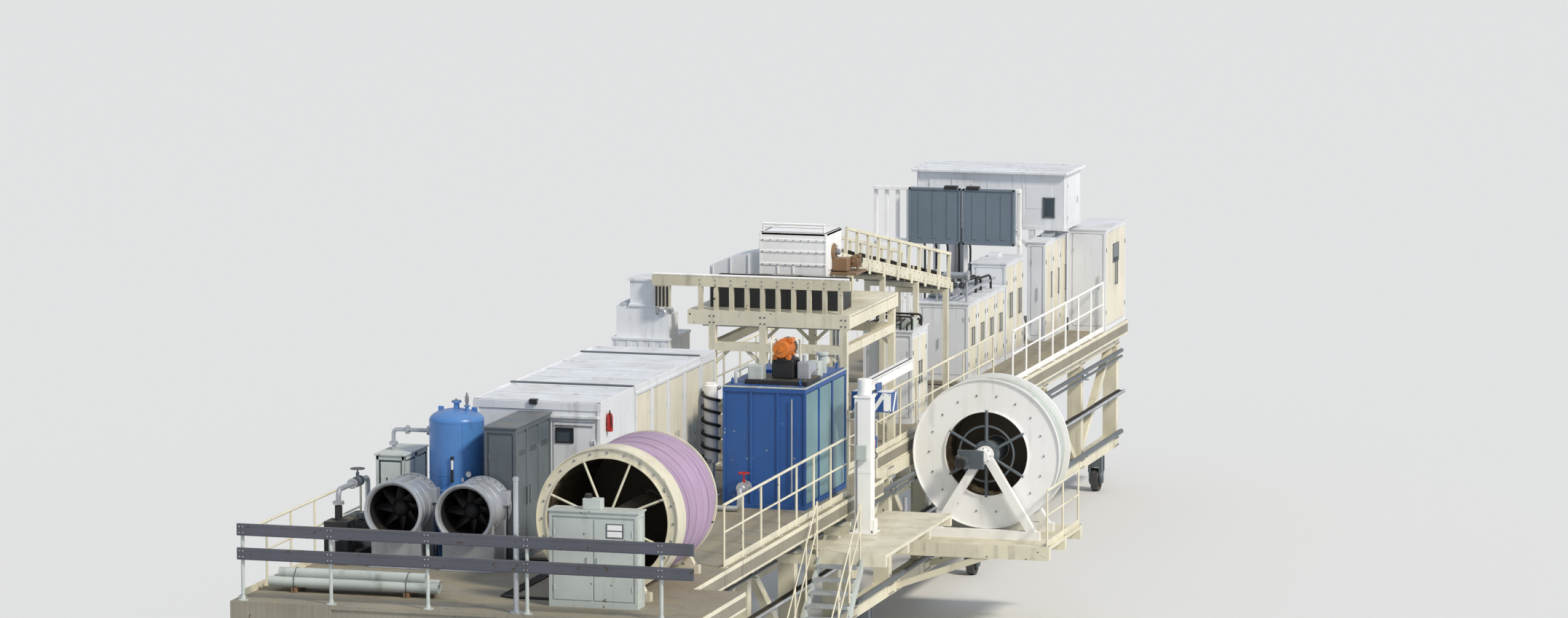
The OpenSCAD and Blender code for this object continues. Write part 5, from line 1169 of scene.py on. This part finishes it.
# Middle gantry: upper frame, its pipes and its ladder railing
uy0, uy1 = (corner[1] for corner in corners("upper_frame"))
knees, heads = [], []
for y in (uy0 + 0.065, uy1 - 0.065):
    for x, s in ((-1.06, 1), (-0.21, -1), (-0.08, 1), (1.35, -1)):
        knees.append(bar([x, y, 5.55 - 0.02], [x + s*0.26, y, 5.77], 0.06, 0.06, up=Y))
    for x in (-1.125, -0.145, 1.415):
        knees.append(block([x - 0.12, y - 0.12, DECK], [x + 0.12, y + 0.12, PLATE_TOP]))
        heads.append(bolts([[x + a, y + b, PLATE_TOP] for a in (-0.095, 0.095) for b in (-0.095, 0.095)],
                           Z, 0.034, 0.026))
        heads.append(bolts([[x + a, uy0, z] for a in (-0.04, 0.04) for z in (6.28, 6.4)], -Y, 0.03, 0.014))
for x, s in ((-1.6, -1), (1.53, 1)):
    knees.append(block([x - 0.006, uy0 + 0.02, 6.24], [x + 0.006, uy1 - 0.02, 6.45], 0.003))
bearers = [block([-1.5, y, 6.3], [1.45, y + 0.06, 6.455]) for y in np.arange(uy0 + 0.45, uy1 - 0.3, 0.5)]
on_mid("upper_frame_knees", cream, *knees, *bearers)
on_mid("upper_frame_bolts", steel, *heads)
(_, ly0, _), (_, ly1, lz1) = corners("ladder_railing")
ly = (ly0 + ly1)/2
on_mid("ladder_railing_top", bright, rod([-2.28, ly, lz1 + 0.03], [1.51, ly, lz1 + 0.03], 0.045, 14),
       *[rod([x, ly, lz1 - 0.01], [x, ly, lz1 + 0.03], 0.03, 8) for x in np.linspace(-2.2, 1.45, 9)])
on_mid("ladder_railing_bolts", steel,
       bolts([[-1.36 + 0.3*i, ly0, z] for i in range(10) for z in (lz1 - 0.05, lz1 - 0.13)],
             -Y, 0.03, 0.014))
on_mid("ladder_railing_box", black,
       *[block([-2.23 + 0.07*i, ly0 - 0.006, lz1 - 0.58], [-2.19 + 0.07*i, ly0 + 0.012, lz1 - 0.2])
         for i in range(4)])
lines = [rod([-1.45, y, 6.17], [1.35, y, 6.17], 0.06, 12) for y in (uy0 + 0.5, uy0 + 0.65, uy0 + 0.8)]
lines += [pipe([[1.35, uy0 + 0.5 + 0.15*k, 6.17], [1.24 - 0.11*k, uy0 + 0.5 + 0.15*k, 6.17],
                [1.24 - 0.11*k, uy0 + 0.5 + 0.15*k, 3.66]], 0.06, 0.1) for k in (0, 1, 2)]
on_mid("upper_frame_pipes", zinc, *lines)

# Head of the conveyor: folded housing, bolted seams, side doors, drive with its gearbox, and a black skirt
# that is partly painted shade
hx0, hy0, hz0 = -0.54, -2.2, 7.06
at = near(0, hy0, hz0)
shell = [block(at(hx0, 0, 0), at(0.76, 0.06, 0.8), 0.02), block(at(hx0, 0, 0.74), at(0.76, 1.1, 0.8), 0.02)]
shell += [block(at(x, 0, 0), at(x + 0.06, 1.1, 0.8), 0.02) for x in (hx0, 0.7)]
shell += [block([hx0 - 0.005, hy0 - 0.015, z], [0.765, hy0 + 0.001, z + 0.04])
          for z in hz0 + np.array([0.18, 0.42, 0.64])]
shell += [block([x, hy0 + 0.5, 6.5], at(x + 0.06, 0.6, 0)) for x in (hx0, 0.7)]
shell += [rod(at(x, 0.06, 0.8), at(x, 0.06, 0.955), 0.042, 12) for x in (-0.476, 0.696)]
shell += [rod(at(-0.5, 0.06, k), at(0.72, 0.06, k), d, 14) for k, d in ((0.955, 0.048), (0.898, 0.036))]
made = on_mid("head_housing", bright, *shell)
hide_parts("discharge_head")
(sx0, sy0, _), (sx1, _, _) = corners("discharge_head")
# Black skirt and curtain strips below the housing: partly a real skirt, partly painted shade that fills the
# dark gap behind the ladder railing
skirt_and_shade = [block([sx0, sy0, 6.5], [sx1, sy0 + 0.04, 7.058]),
         block([sx0, hy0 - 0.06, 7.0], [sx1, hy0 - 0.02, 7.058])]
skirt_and_shade += [block([x, sy0 + 0.04, 6.5], [x + 0.04, hy0 - 0.02, 7.058]) for x in (sx0, sx1 - 0.04)]
skirt_and_shade += [block([x, sy0 - 0.012, 6.51], [x + 0.04, sy0 + 0.002, 7.05])
          for x in np.linspace(sx0 + 0.02, sx1 - 0.06, 6)]
on_mid("head_skirt", black, *skirt_and_shade)
head_heads = [[x, hy0 - 0.015, z + 0.02] for z in (hz0 + 0.18, hz0 + 0.42, hz0 + 0.64)
              for x in np.arange(-0.48, 0.75, 0.15)]
on_mid("head_bolts", steel, bolts(head_heads, -Y, 0.026, 0.012))
plates = [block(at(0.758, 0.12, 0.1), at(0.785, 0.62, 0.6)),
          block(at(-0.548, -0.008, 0.005), at(-0.5, 0.03, 0.79)),
          block(at(0.72, -0.008, 0.005), at(0.768, 0.03, 0.79)),
          block(at(0.1, -0.02, 0.02), at(0.13, 0, 0.17)), block(at(-0.2, -0.02, 0.02), at(-0.17, 0, 0.17))]
on_mid("head_plates", bright, *plates)
drum, cowl = motor(at(1.12, 0.75, 0.22), 0.11, 0.36)
on_mid("head_drive", brown, drum, block(at(0.78, 0.3, 0.06), at(1.1, 0.5, 0.32), 0.03),
       turning([(0.02, 0), (0.16, 0), (0.16, 0.04), (0.11, 0.07), (0.02, 0.07)], at(0.77, 0.4, 0.42),
               X, 32), block(at(0.76, 0.25, 0.0), at(1.28, 1.0, 0.045)))
on_mid("head_drive_cowl", black, cowl)
on_mid("head_drum_shaft", steel, rod(at(-0.62, 0.4, 0.42), at(0.92, 0.4, 0.42), 0.11, 24),
       bolts(round_places(at(0.84, 0.4, 0.42), 0.13, 8, X), X, 0.024, 0.014))
on_mid("head_drum", black,
       turning([(0.06, 0), (0.2, 0), (0.225, 0.02), (0.23, 0.5), (0.225, 0.98), (0.2, 1.0), (0.06, 1.0)],
               at(-0.39, 0.42, 0.4), X))
(cx0, cy0, _), (cx1, _, _) = corners("discharge_chute")
on_mid("chute_stiffeners", white,
       *[block([x, cy0 - 0.03, 6.51], [x + 0.03, cy0 + 0.002, z])
         for x, z in ((cx0 + 0.05, 7.18), (cx0 + 0.4, 7.35), (cx0 + 0.75, 7.42))],
       block([cx0 + 0.02, cy0 - 0.02, 6.75], [cx1 - 0.02, cy0 + 0.002, 6.79]))
on_mid("chute_bolts", steel,
       bolts([[x, cy0 - 0.02, 6.77] for x in np.linspace(cx0 + 0.12, cx1 - 0.1, 8)], -Y, 0.024, 0.012))

# Belt: troughed carrying run on idlers, return rollers, bolts on the stringers. Drawn level and then
# turned down by the conveyor's slope about its upper end
belt_y, belt_z, belt_x = -1.9, 7.48, 0.11
run, drop = 9.7, 1.7
slope, length = math.degrees(math.atan2(drop, run)), math.hypot(run, drop)


def sloped(shape):
    """From belt coordinates (across, along, up) to their place on the slope."""
    return turned((shape[0] + np.array([belt_x, belt_y, belt_z]), shape[1], shape[2]), X, -slope,
                  (belt_x, belt_y, belt_z))


u = np.linspace(-1, 1, 15)
trough = 0.05 + 0.1*(np.maximum(np.abs(u) - 0.4, 0)/0.6)**1.2
top_line = np.column_stack([0.4*u, trough + 0.012])
under_line = np.column_stack([0.4*u, trough])[::-1]
section = np.concatenate([top_line, under_line])
y = np.linspace(0.05, length - 0.02, 60)
sag = 0.006*np.cos(y*2*math.pi/1.1)
belt = np.stack([np.broadcast_to(section[:, 0], (60, 30)), np.repeat(y[:, None], 30, 1),
                 section[:, 1] + sag[:, None]], -1)
lower = block([-0.4, 0.3, -0.15], [0.4, length - 0.05, -0.138])
on_mid("conveyor_belt", belting, sloped(skin(belt)), sloped(lower))
rollers, frames = [], []
for y in np.arange(0.6, length - 0.2, 1.1):
    rollers += [rod([-0.17, y, 0.015], [0.17, y, 0.015], 0.06, 12),
                rod([0.18, y, 0.02], [0.41, y, 0.115], 0.06, 12),
                rod([-0.18, y, 0.02], [-0.41, y, 0.115], 0.06, 12),
                rod([-0.42, y + 0.5, -0.175], [0.42, y + 0.5, -0.175], 0.06, 12)]
    frames += [block([s*0.43 - 0.012, y - 0.03, 0.03], [s*0.43 + 0.012, y + 0.03, 0.16]) for s in (-1, 1)]
    frames += [block([s*0.56 - 0.006, y + 0.42, -0.23], [s*0.56 + 0.006, y + 0.58, -0.02]) for s in (-1, 1)]
on_mid("conveyor_rollers", steel, *[sloped(s) for s in rollers],
       sloped(bolts([[0.55, y, z] for y in np.arange(0.15, length, 0.37) for z in (-0.12, 0.02)],
                    X, 0.026, 0.012)),
       sloped(bolts([[-0.55, y, z] for y in np.arange(0.15, length, 0.37) for z in (-0.12, 0.02)],
                    -X, 0.026, 0.012)))
on_mid("conveyor_brackets", cream, *[sloped(s) for s in frames])

# Dust filter: ribs, doors, cleaning heads and a bent duct
dx, dy = corners("dust_filter")[0][:2]
at = near(dx, dy)
on_mid("dust_filter_ribs", white,
       ribs(at(0, 0, 3.7), at(0, 1.4, 5.8), 0.28), ribs(at(0, 0, 5.3), at(1.1, 0, 5.85), 0.22, side=-Y),
       *[block(at(-0.02, -0.02, z), at(1.12, 1.42, z + 0.05)) for z in (3.66, 5.22, 5.87)],
       block(at(0.29, 0.07, 6.5), at(0.85, 0.83, 6.55)), block(at(0.29, 0.07, 6.98), at(0.85, 0.83, 7.035)))
row = door_row(at(0.06, 0, 3.75), X, 0.98, 1.4, 2)
put_doors("dust_filter", white, "mid_gantry", [row])
valves = [turning([(0.05, 0), (0.09, 0), (0.09, 0.05), (0.07, 0.09), (0.01, 0.1)],
                  at(0.95, 0.15 + 0.13*i, 6.35), Z, 20) for i in range(4)]
valves += [turning([(0.05, 0), (0.08, 0), (0.08, 0.04), (0.01, 0.08)], at(0.18, 0.17 + 0.13*i, 6.5), Z, 20)
           for i in range(4)]
on_mid("dust_filter_valves", zinc, *valves,
       pipe([at(0.57, 0.8, 6.75), at(0.57, 1.15, 6.75), at(0.57, 1.15, 5.7)], 0.26, 0.22, 24),
       flange(at(0.57, 1.15, 6.2), Z, 0.38, 0.016, 12))

# Cabinet at the right of the middle deck, and the pipes of the low platform
# Doors on the cabinet's right face in cream that is painted sunlight; the end doors stay white
put_doors("mid_cabinet", sunlit_cream, "mid_gantry",
          [door_row([1.165, 2.6 + 0.06, DOOR_FOOT], Y, 1.08, 1.53, 2, grip=0.3)], slate)
put_doors("mid_cabinet_end", white, "mid_gantry",
          [door_row([0.2 + 0.07, 2.625, DOOR_FOOT], X, 0.85, 1.53, 2)])
roof_z = 5.43
humps = [pipe([[0.28 + 0.13*i, 2.68, roof_z], [0.28 + 0.13*i, 2.68, roof_z + 0.12 + 0.03*(i % 3)],
               [0.34 + 0.12*i, 3.66, roof_z + 0.12 + 0.03*(i % 3)], [0.34 + 0.12*i, 3.66, roof_z]],
              0.04, 0.08, 10) for i in range(7)]
humps += [pipe([[0.24, y, roof_z], [0.24, y, roof_z + h], [1.14, y, roof_z + h], [1.14, y, roof_z]],
               0.045, 0.08, 10) for y, h in ((2.76, 0.26), (3.5, 0.22))]
on_mid("mid_cabinet_conduits", rubber, *humps)
on_mid("mid_cabinet_clamps", pale,
       *[block([0.25, y, roof_z - 0.001], [1.13, y + 0.05, roof_z + 0.05]) for y in (2.9, 3.3)],
       block([0.86, 3.0, roof_z - 0.001], [1.12, 3.24, roof_z + 0.2], 0.012))
on_mid("low_platform_pipes", zinc,
       pipe([[1.75, -0.1, 2.6], [1.75, -0.1, 1.86], [1.75, 0.6, 1.86], [2.2, 0.6, 1.86]], 0.09, 0.12, 16),
       pipe([[reel2_x, reel2_hi[1] + 0.36, reel2_z], [reel2_x, reel2_hi[1] + 0.52, reel2_z],
             [1.75, reel2_hi[1] + 0.52, reel2_z - 0.9], [1.75, reel2_hi[1] + 0.52, 1.8]], 0.1, 0.18, 16),
       flange([1.75, -0.1, 2.3], Z, 0.2))


# Front gantry: cabinets and the pipework on their roofs

CABINETS = (  # left, right, from and to share of the deck's length, height, doors on the right
    (-0.28, 0.77, 0.02, 0.318, 1.59, 4), (0.03, 0.77, 0.328, 0.478, 2.04, 2),
    (0.48, 0.88, 0.62, 0.81, 2.14, 3), (0.96, 1.78, BOOTH, 0.985, 2.23, 1))
rows, ends, roof = [], [], []
for x0, x1, a, b, h, n in CABINETS:
    y0, y1 = share(a), share(b)
    w = (y1 - y0)/n
    for i in range(n):
        rows.append(door_row([x1 - 0.025, y0 + w*i + 0.06, DOOR_FOOT],
                             Y, w - 0.12, h - 0.23, 2 if w > 0.7 else 1, grip=0.3))
    ends.append(door_row([x0 + 0.07, y0 + 0.025, DOOR_FOOT], X, x1 - x0 - 0.14, h - 0.23,
                         2 if x1 - x0 > 0.9 else 1))
    roof += [block([x0 - 0.02, y, DECK + h - 0.001], [x1 + 0.02, y + 0.03, DECK + h + 0.02])
             for y in np.arange(y0 + w, y1 - 0.2, w)]
    roof += [block([x0 + 0.1, y0 + w*i + 0.2, DECK + h - 0.001],
                   [x0 + 0.34, y0 + w*i + 0.5, DECK + h + 0.08], 0.01) for i in range(1, n)]
# Doors on the right faces in cream that is painted sunlight; the end doors stay white
put_doors("front_cabinet", sunlit_cream, "front_gantry", rows, slate)
put_doors("front_cabinet_end", white, "front_gantry", ends)
on_front("front_cabinet_roofs", white, *roof)
booth_x, booth_y = 1.78, share(BOOTH)
on_front("booth_window_glass", pane,
         block([booth_x - 0.008, booth_y + 0.75, 5.05], [booth_x + 0.002, booth_y + 1.25, 5.4], 0.002))
on_front("booth_window_frame", slate,
         *[block([booth_x - 0.01, booth_y + 0.72, z], [booth_x + 0.008, booth_y + 1.28, z + 0.03])
           for z in (5.02, 5.4)],
         *[block([booth_x - 0.01, y, 5.02], [booth_x + 0.008, y + 0.03, 5.43])
           for y in (booth_y + 0.72, booth_y + 1.25)])

top = DECK + 1.59
manifold, bodies, wheels = [], [], []
y = share(0.02) + 0.25
manifold.append(rod([0.02, y, top + 0.55], [0.7, y, top + 0.55], 0.13, 20))
for i in range(4):
    x = 0.12 + 0.16*i
    manifold.append(pipe([[x, y, top + 0.55], [x, y, top + 0.12 + 0.02*i],
                          [x, y + 0.35 + 0.1*i, top + 0.12 + 0.02*i], [x, y + 2.7, top + 0.12 + 0.02*i]],
                         0.06, 0.08))
    bodies.append(turning([(0.02, 0), (0.055, 0), (0.055, 0.05), (0.04, 0.08), (0.055, 0.11), (0.02, 0.12)],
                          [x, y, top + 0.28], Z, 16))
    wheels.append(handwheel([x, y - 0.16, top + 0.36], Y, 0.11))
    manifold.append(rod([x, y - 0.15, top + 0.36], [x, y, top + 0.36], 0.02, 8))
manifold += [flange([0.7, y, top + 0.55], X, 0.22), flange([0.05, y, top + 0.55], X, 0.22)]
manifold += [block([x - 0.02, y - 0.03, top], [x + 0.02, y + 0.03, top + 0.5]) for x in (0.05, 0.67)]
on_front("roof_manifold", zinc, *manifold)
on_front("roof_valves", slate, *bodies)
on_front("roof_valve_wheels", black, *wheels)
on_front("roof_conduits", rubber,
         *[pipe([[x, y + 1.0 + k, top], [x, y + 1.0 + k, top + 0.3], [x + 0.1, y + 1.9 + k, top + 0.3],
                 [x + 0.1, y + 1.9 + k, top]], 0.05, 0.18)
           for x, k in ((0.1, 0.0), (0.24, 0.25), (0.38, 0.1), (0.52, 0.4))])
on_front("roof_pipes", slate,
         *[rod([x, share(0.02) + 0.6, top + 0.05], [x, share(0.318) - 0.1, top + 0.05], 0.056, 14)
           for x in (-0.2, -0.12, -0.04)],
         *[block([-0.24, y, top], [0.0, y + 0.04, top + 0.082])
           for y in share(0.02) + 0.8 + 0.75*np.arange(3)])

# Panel rack: posts and rails, pressed ribs and frames on both panels, clips and conduits behind
ry0, rz0, rz1 = rack_lo[1], 5.75, 6.95
posts = [block([x, ry0 + 0.18, z], [x + 0.08, ry0 + 0.26, rz1], 0.01)
         for x, z in ((-2.7, 3.6), (-2.46, rz0), (-2.22, rz0), (-1.98, 3.6), (-0.72, 3.6), (0.46, 3.6))]
posts += [block([-2.7, ry0 + 0.12, z], [0.54, ry0 + 0.181, z + 0.08], 0.01) for z in (rz0, rz1 - 0.08)]
made = on_front("rack_frame", bright, *posts)
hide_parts("panel_rack")
frames = []
for x0, x1 in ((-1.88, -0.74), (-0.7, 0.44)):
    frames.append(block([x0, ry0, rz0], [x1, ry0 + 0.12, rz1], 0.015))
    frames += [block([x0, ry0 - 0.02, z], [x1, ry0 + 0.001, z + 0.05]) for z in (rz0, rz1 - 0.05)]
    frames += [block([x, ry0 - 0.02, rz0], [x + 0.05, ry0 + 0.001, rz1]) for x in (x0, x1 - 0.05)]
    frames.append(ribs([x0 + 0.1, ry0, rz0 + 0.12], [x1 - 0.1, ry0, rz1 - 0.12], 0.3, 0.01, 0.1, -Y))
on_front("panel_frames", panel, *frames)
on_front("panel_clips", steel,
         bolts([[x, ry0 - 0.02, z] for x in (-1.82, -1.31, -0.8, -0.64, -0.13, 0.38)
                for z in (rz0 + 0.025, rz1 - 0.025)], -Y, 0.03, 0.014))
on_front("panel_clamps", black,
         *[block([x, ry0 - 0.03, rz1 - 0.03], [x + 0.28, ry0 + 0.13, rz1 + 0.05]) for x in (-1.1, -0.62)])
on_front("panel_conduits", rubber,
         *[pipe([[-1.6 + 0.25*i, ry0 + 0.15, rz0 + 0.06], [-1.6 + 0.25*i, ry0 + 0.32, rz0 - 0.05],
                 [-1.6 + 0.25*i, ry0 + 0.32, 3.64], [-1.6 + 0.25*i, ry0 + 1.2, 3.64]], 0.045, 0.12, 10)
           for i in range(5)])
on_front("panel_conduit_box", pale, block([-1.74, ry0 + 1.17, 3.601], [-0.46, ry0 + 1.34, 3.75]))
on_front("rack_braces", bright,
         *[bar([x + 0.04, rack_hi[1] - 0.05, 4.4], [x + 0.04, rack_hi[1] + 0.75, 3.62], 0.06, 0.06, up=X)
           for x in (-2.7, -1.98, -0.72, 0.46)],
         *[block([x - 0.06, rack_hi[1] - 0.16, DECK], [x + 0.14, rack_hi[1] + 0.06, PLATE_TOP])
           for x in (-2.7, -1.98, -0.72, 0.46)])

# Machine room: overhanging roof, window, doors, seams, knees and its duct
(ax0, ay0, _), (ax1, ay1, _) = corners("machine_room")
az0, az1 = 5.9, 7.1
cover = [block([ax0 - 0.1, ay0 - 0.12, az1 - 0.001], [ax1 + 0.1, ay1 + 0.1, az1 + 0.07], 0.02)]
cover += [block([ax0 - 0.09, ay0 + 0.1 + 0.45*i, az1 + 0.069],
                [ax1 + 0.09, ay0 + 0.13 + 0.45*i, az1 + 0.09]) for i in range(4)]
cover += [block([x - 0.02, ay0 - 0.008, az0], [x + 0.02, ay0 + 0.002, az1])
          for x in np.linspace(ax0 + 0.03, 0.2, 4)]
cover += [block([ax0, ay0 - 0.012, az0], [ax1, ay0 + 0.002, az0 + 0.09]),
          block([ax1 - 0.002, ay0, az0], [ax1 + 0.012, ay1, az0 + 0.09])]
cover += [bar([x, ay0 + 0.06, az0 - 0.42], [x + s*0.36, ay0 + 0.06, az0 - 0.03], 0.06, 0.06, up=Y)
          for x, s in ((ax0 + 0.1, 1), (0.34, -1))]
on_front("machine_room_roof", white, *cover)
wx0, wx1, wz0, wz1 = 0.66, 0.87, 6.2, 6.58
on_front("machine_room_end_plate", white, block([0.26, ay0 - 0.006, 6.36], [0.84, ay0 + 0.02, 6.84], 0.002))
on_front("machine_room_glass", pane, block([wx0, ay0 - 0.016, wz0], [wx1, ay0 - 0.002, wz1], 0.002))
bars = [block([wx0 - 0.03, ay0 - 0.024, z], [wx1 + 0.03, ay0 + 0.002, z + 0.03]) for z in (wz0 - 0.03, wz1)]
bars += [block([x, ay0 - 0.024, wz0 - 0.03], [x + 0.03, ay0 + 0.002, wz1 + 0.03])
         for x in (wx0 - 0.03, wx1)]
on_front("machine_room_window_bars", slate, *bars)
rows = [door_row([ax1, ay0 + 0.25, 5.98], Y, 0.95, 1.02, 1), door_row([-1.9, ay0, 6.0], X, 1.0, 0.95, 2)]
put_doors("machine_room", white, "front_gantry", rows)
on_front("machine_room_ducts", zinc,
         pipe([[-1.6, ay1 - 0.3, az0 + 0.02], [-1.6, ay1 - 0.3, 4.6], [-1.6, ay1 + 0.3, 4.6],
               [-1.6, FRONT[1] - 0.4, 4.6]], 0.4, 0.4, 28),
         *[turning([(0.2, 0), (0.215, 0.006), (0.215, 0.03), (0.2, 0.036)], [-1.6, y, 4.6], Y, 32, True)
           for y in (17.9, 18.4, 18.8)],
         *[block([-1.64, y, DECK], [-1.56, y + 0.05, 4.42]) for y in (18.0, 18.75)])


# Cream flanges along the lower and the upper edge of the deck plates
DECK_EDGES = {  # body: (x of the edge, way out, from y, to y)
    "rear_gantry": ((3.3, 1, -19.69, -16.61), (2.4, 1, -16.59, -4.21), (-2.9, -1, -13.39, -4.21)),
    "mid_gantry": ((1.56, 1, -3.59, 7.99), (-3.2, -1, -3.59, 7.99)),
    "front_gantry": ((1.8, 1, 8.61, 19.26), (-2.75, -1, 8.61, 19.26)),
}
for body, sides in DECK_EDGES.items():
    put(body + "_deck_edges", cream, body,
        *[block([x - 0.004*out, y0, low_z], [x + 0.008*out, y1, high_z], 0.003) for x, out, y0, y1 in sides
          for low_z, high_z in ((3.302, 3.34), (3.53, 3.603))])


# Camera, light and floor

def set_stage():
    """Camera at the photograph's place, one soft sun from the right, an even sky and a pale floor."""
    scene = bpy.context.scene
    scene.view_settings.view_transform = "Standard"
    camera = bpy.data.objects.new("camera", bpy.data.cameras.new("camera"))
    camera.data.sensor_width = 36.0
    camera.data.lens = 144.8
    camera.data.clip_end = 600.0
    camera.location = (31.535, -115.376, 21.467)
    camera.rotation_euler = (math.radians(82.7), 0, math.radians(15.6))
    scene.collection.objects.link(camera)
    scene.camera = camera

    sun = bpy.data.objects.new("sun", bpy.data.lights.new("sun", "SUN"))
    sun.data.energy = 2.7
    sun.data.angle = math.radians(9)
    sun.data.color = (1.0, 0.92, 0.79)
    sun.rotation_euler = (math.radians(50), 0, math.radians(62))
    scene.collection.objects.link(sun)

    world = bpy.data.worlds.new("sky")
    world.use_nodes = True
    back = world.node_tree.nodes["Background"]
    back.inputs["Color"].default_value = (0.78, 0.86, 1.0, 1)
    back.inputs["Strength"].default_value = 0.64
    scene.world = world

    floor = bpy.data.meshes.new("floor")
    floor.from_pydata([(-600, -600, 0), (600, -600, 0), (600, 600, 0), (-600, 600, 0)], [], [(0, 1, 2, 3)])
    plain = bpy.data.materials.new("floor")
    plain.use_nodes = True
    plain.node_tree.nodes["Principled BSDF"].inputs["Base Color"].default_value = (0.72, 0.72, 0.71, 1)
    plain.node_tree.nodes["Principled BSDF"].inputs["Roughness"].default_value = 0.95
    floor.materials.append(plain)
    ground = bpy.data.objects.new("floor", floor)
    scene.collection.objects.link(ground)


set_stage()
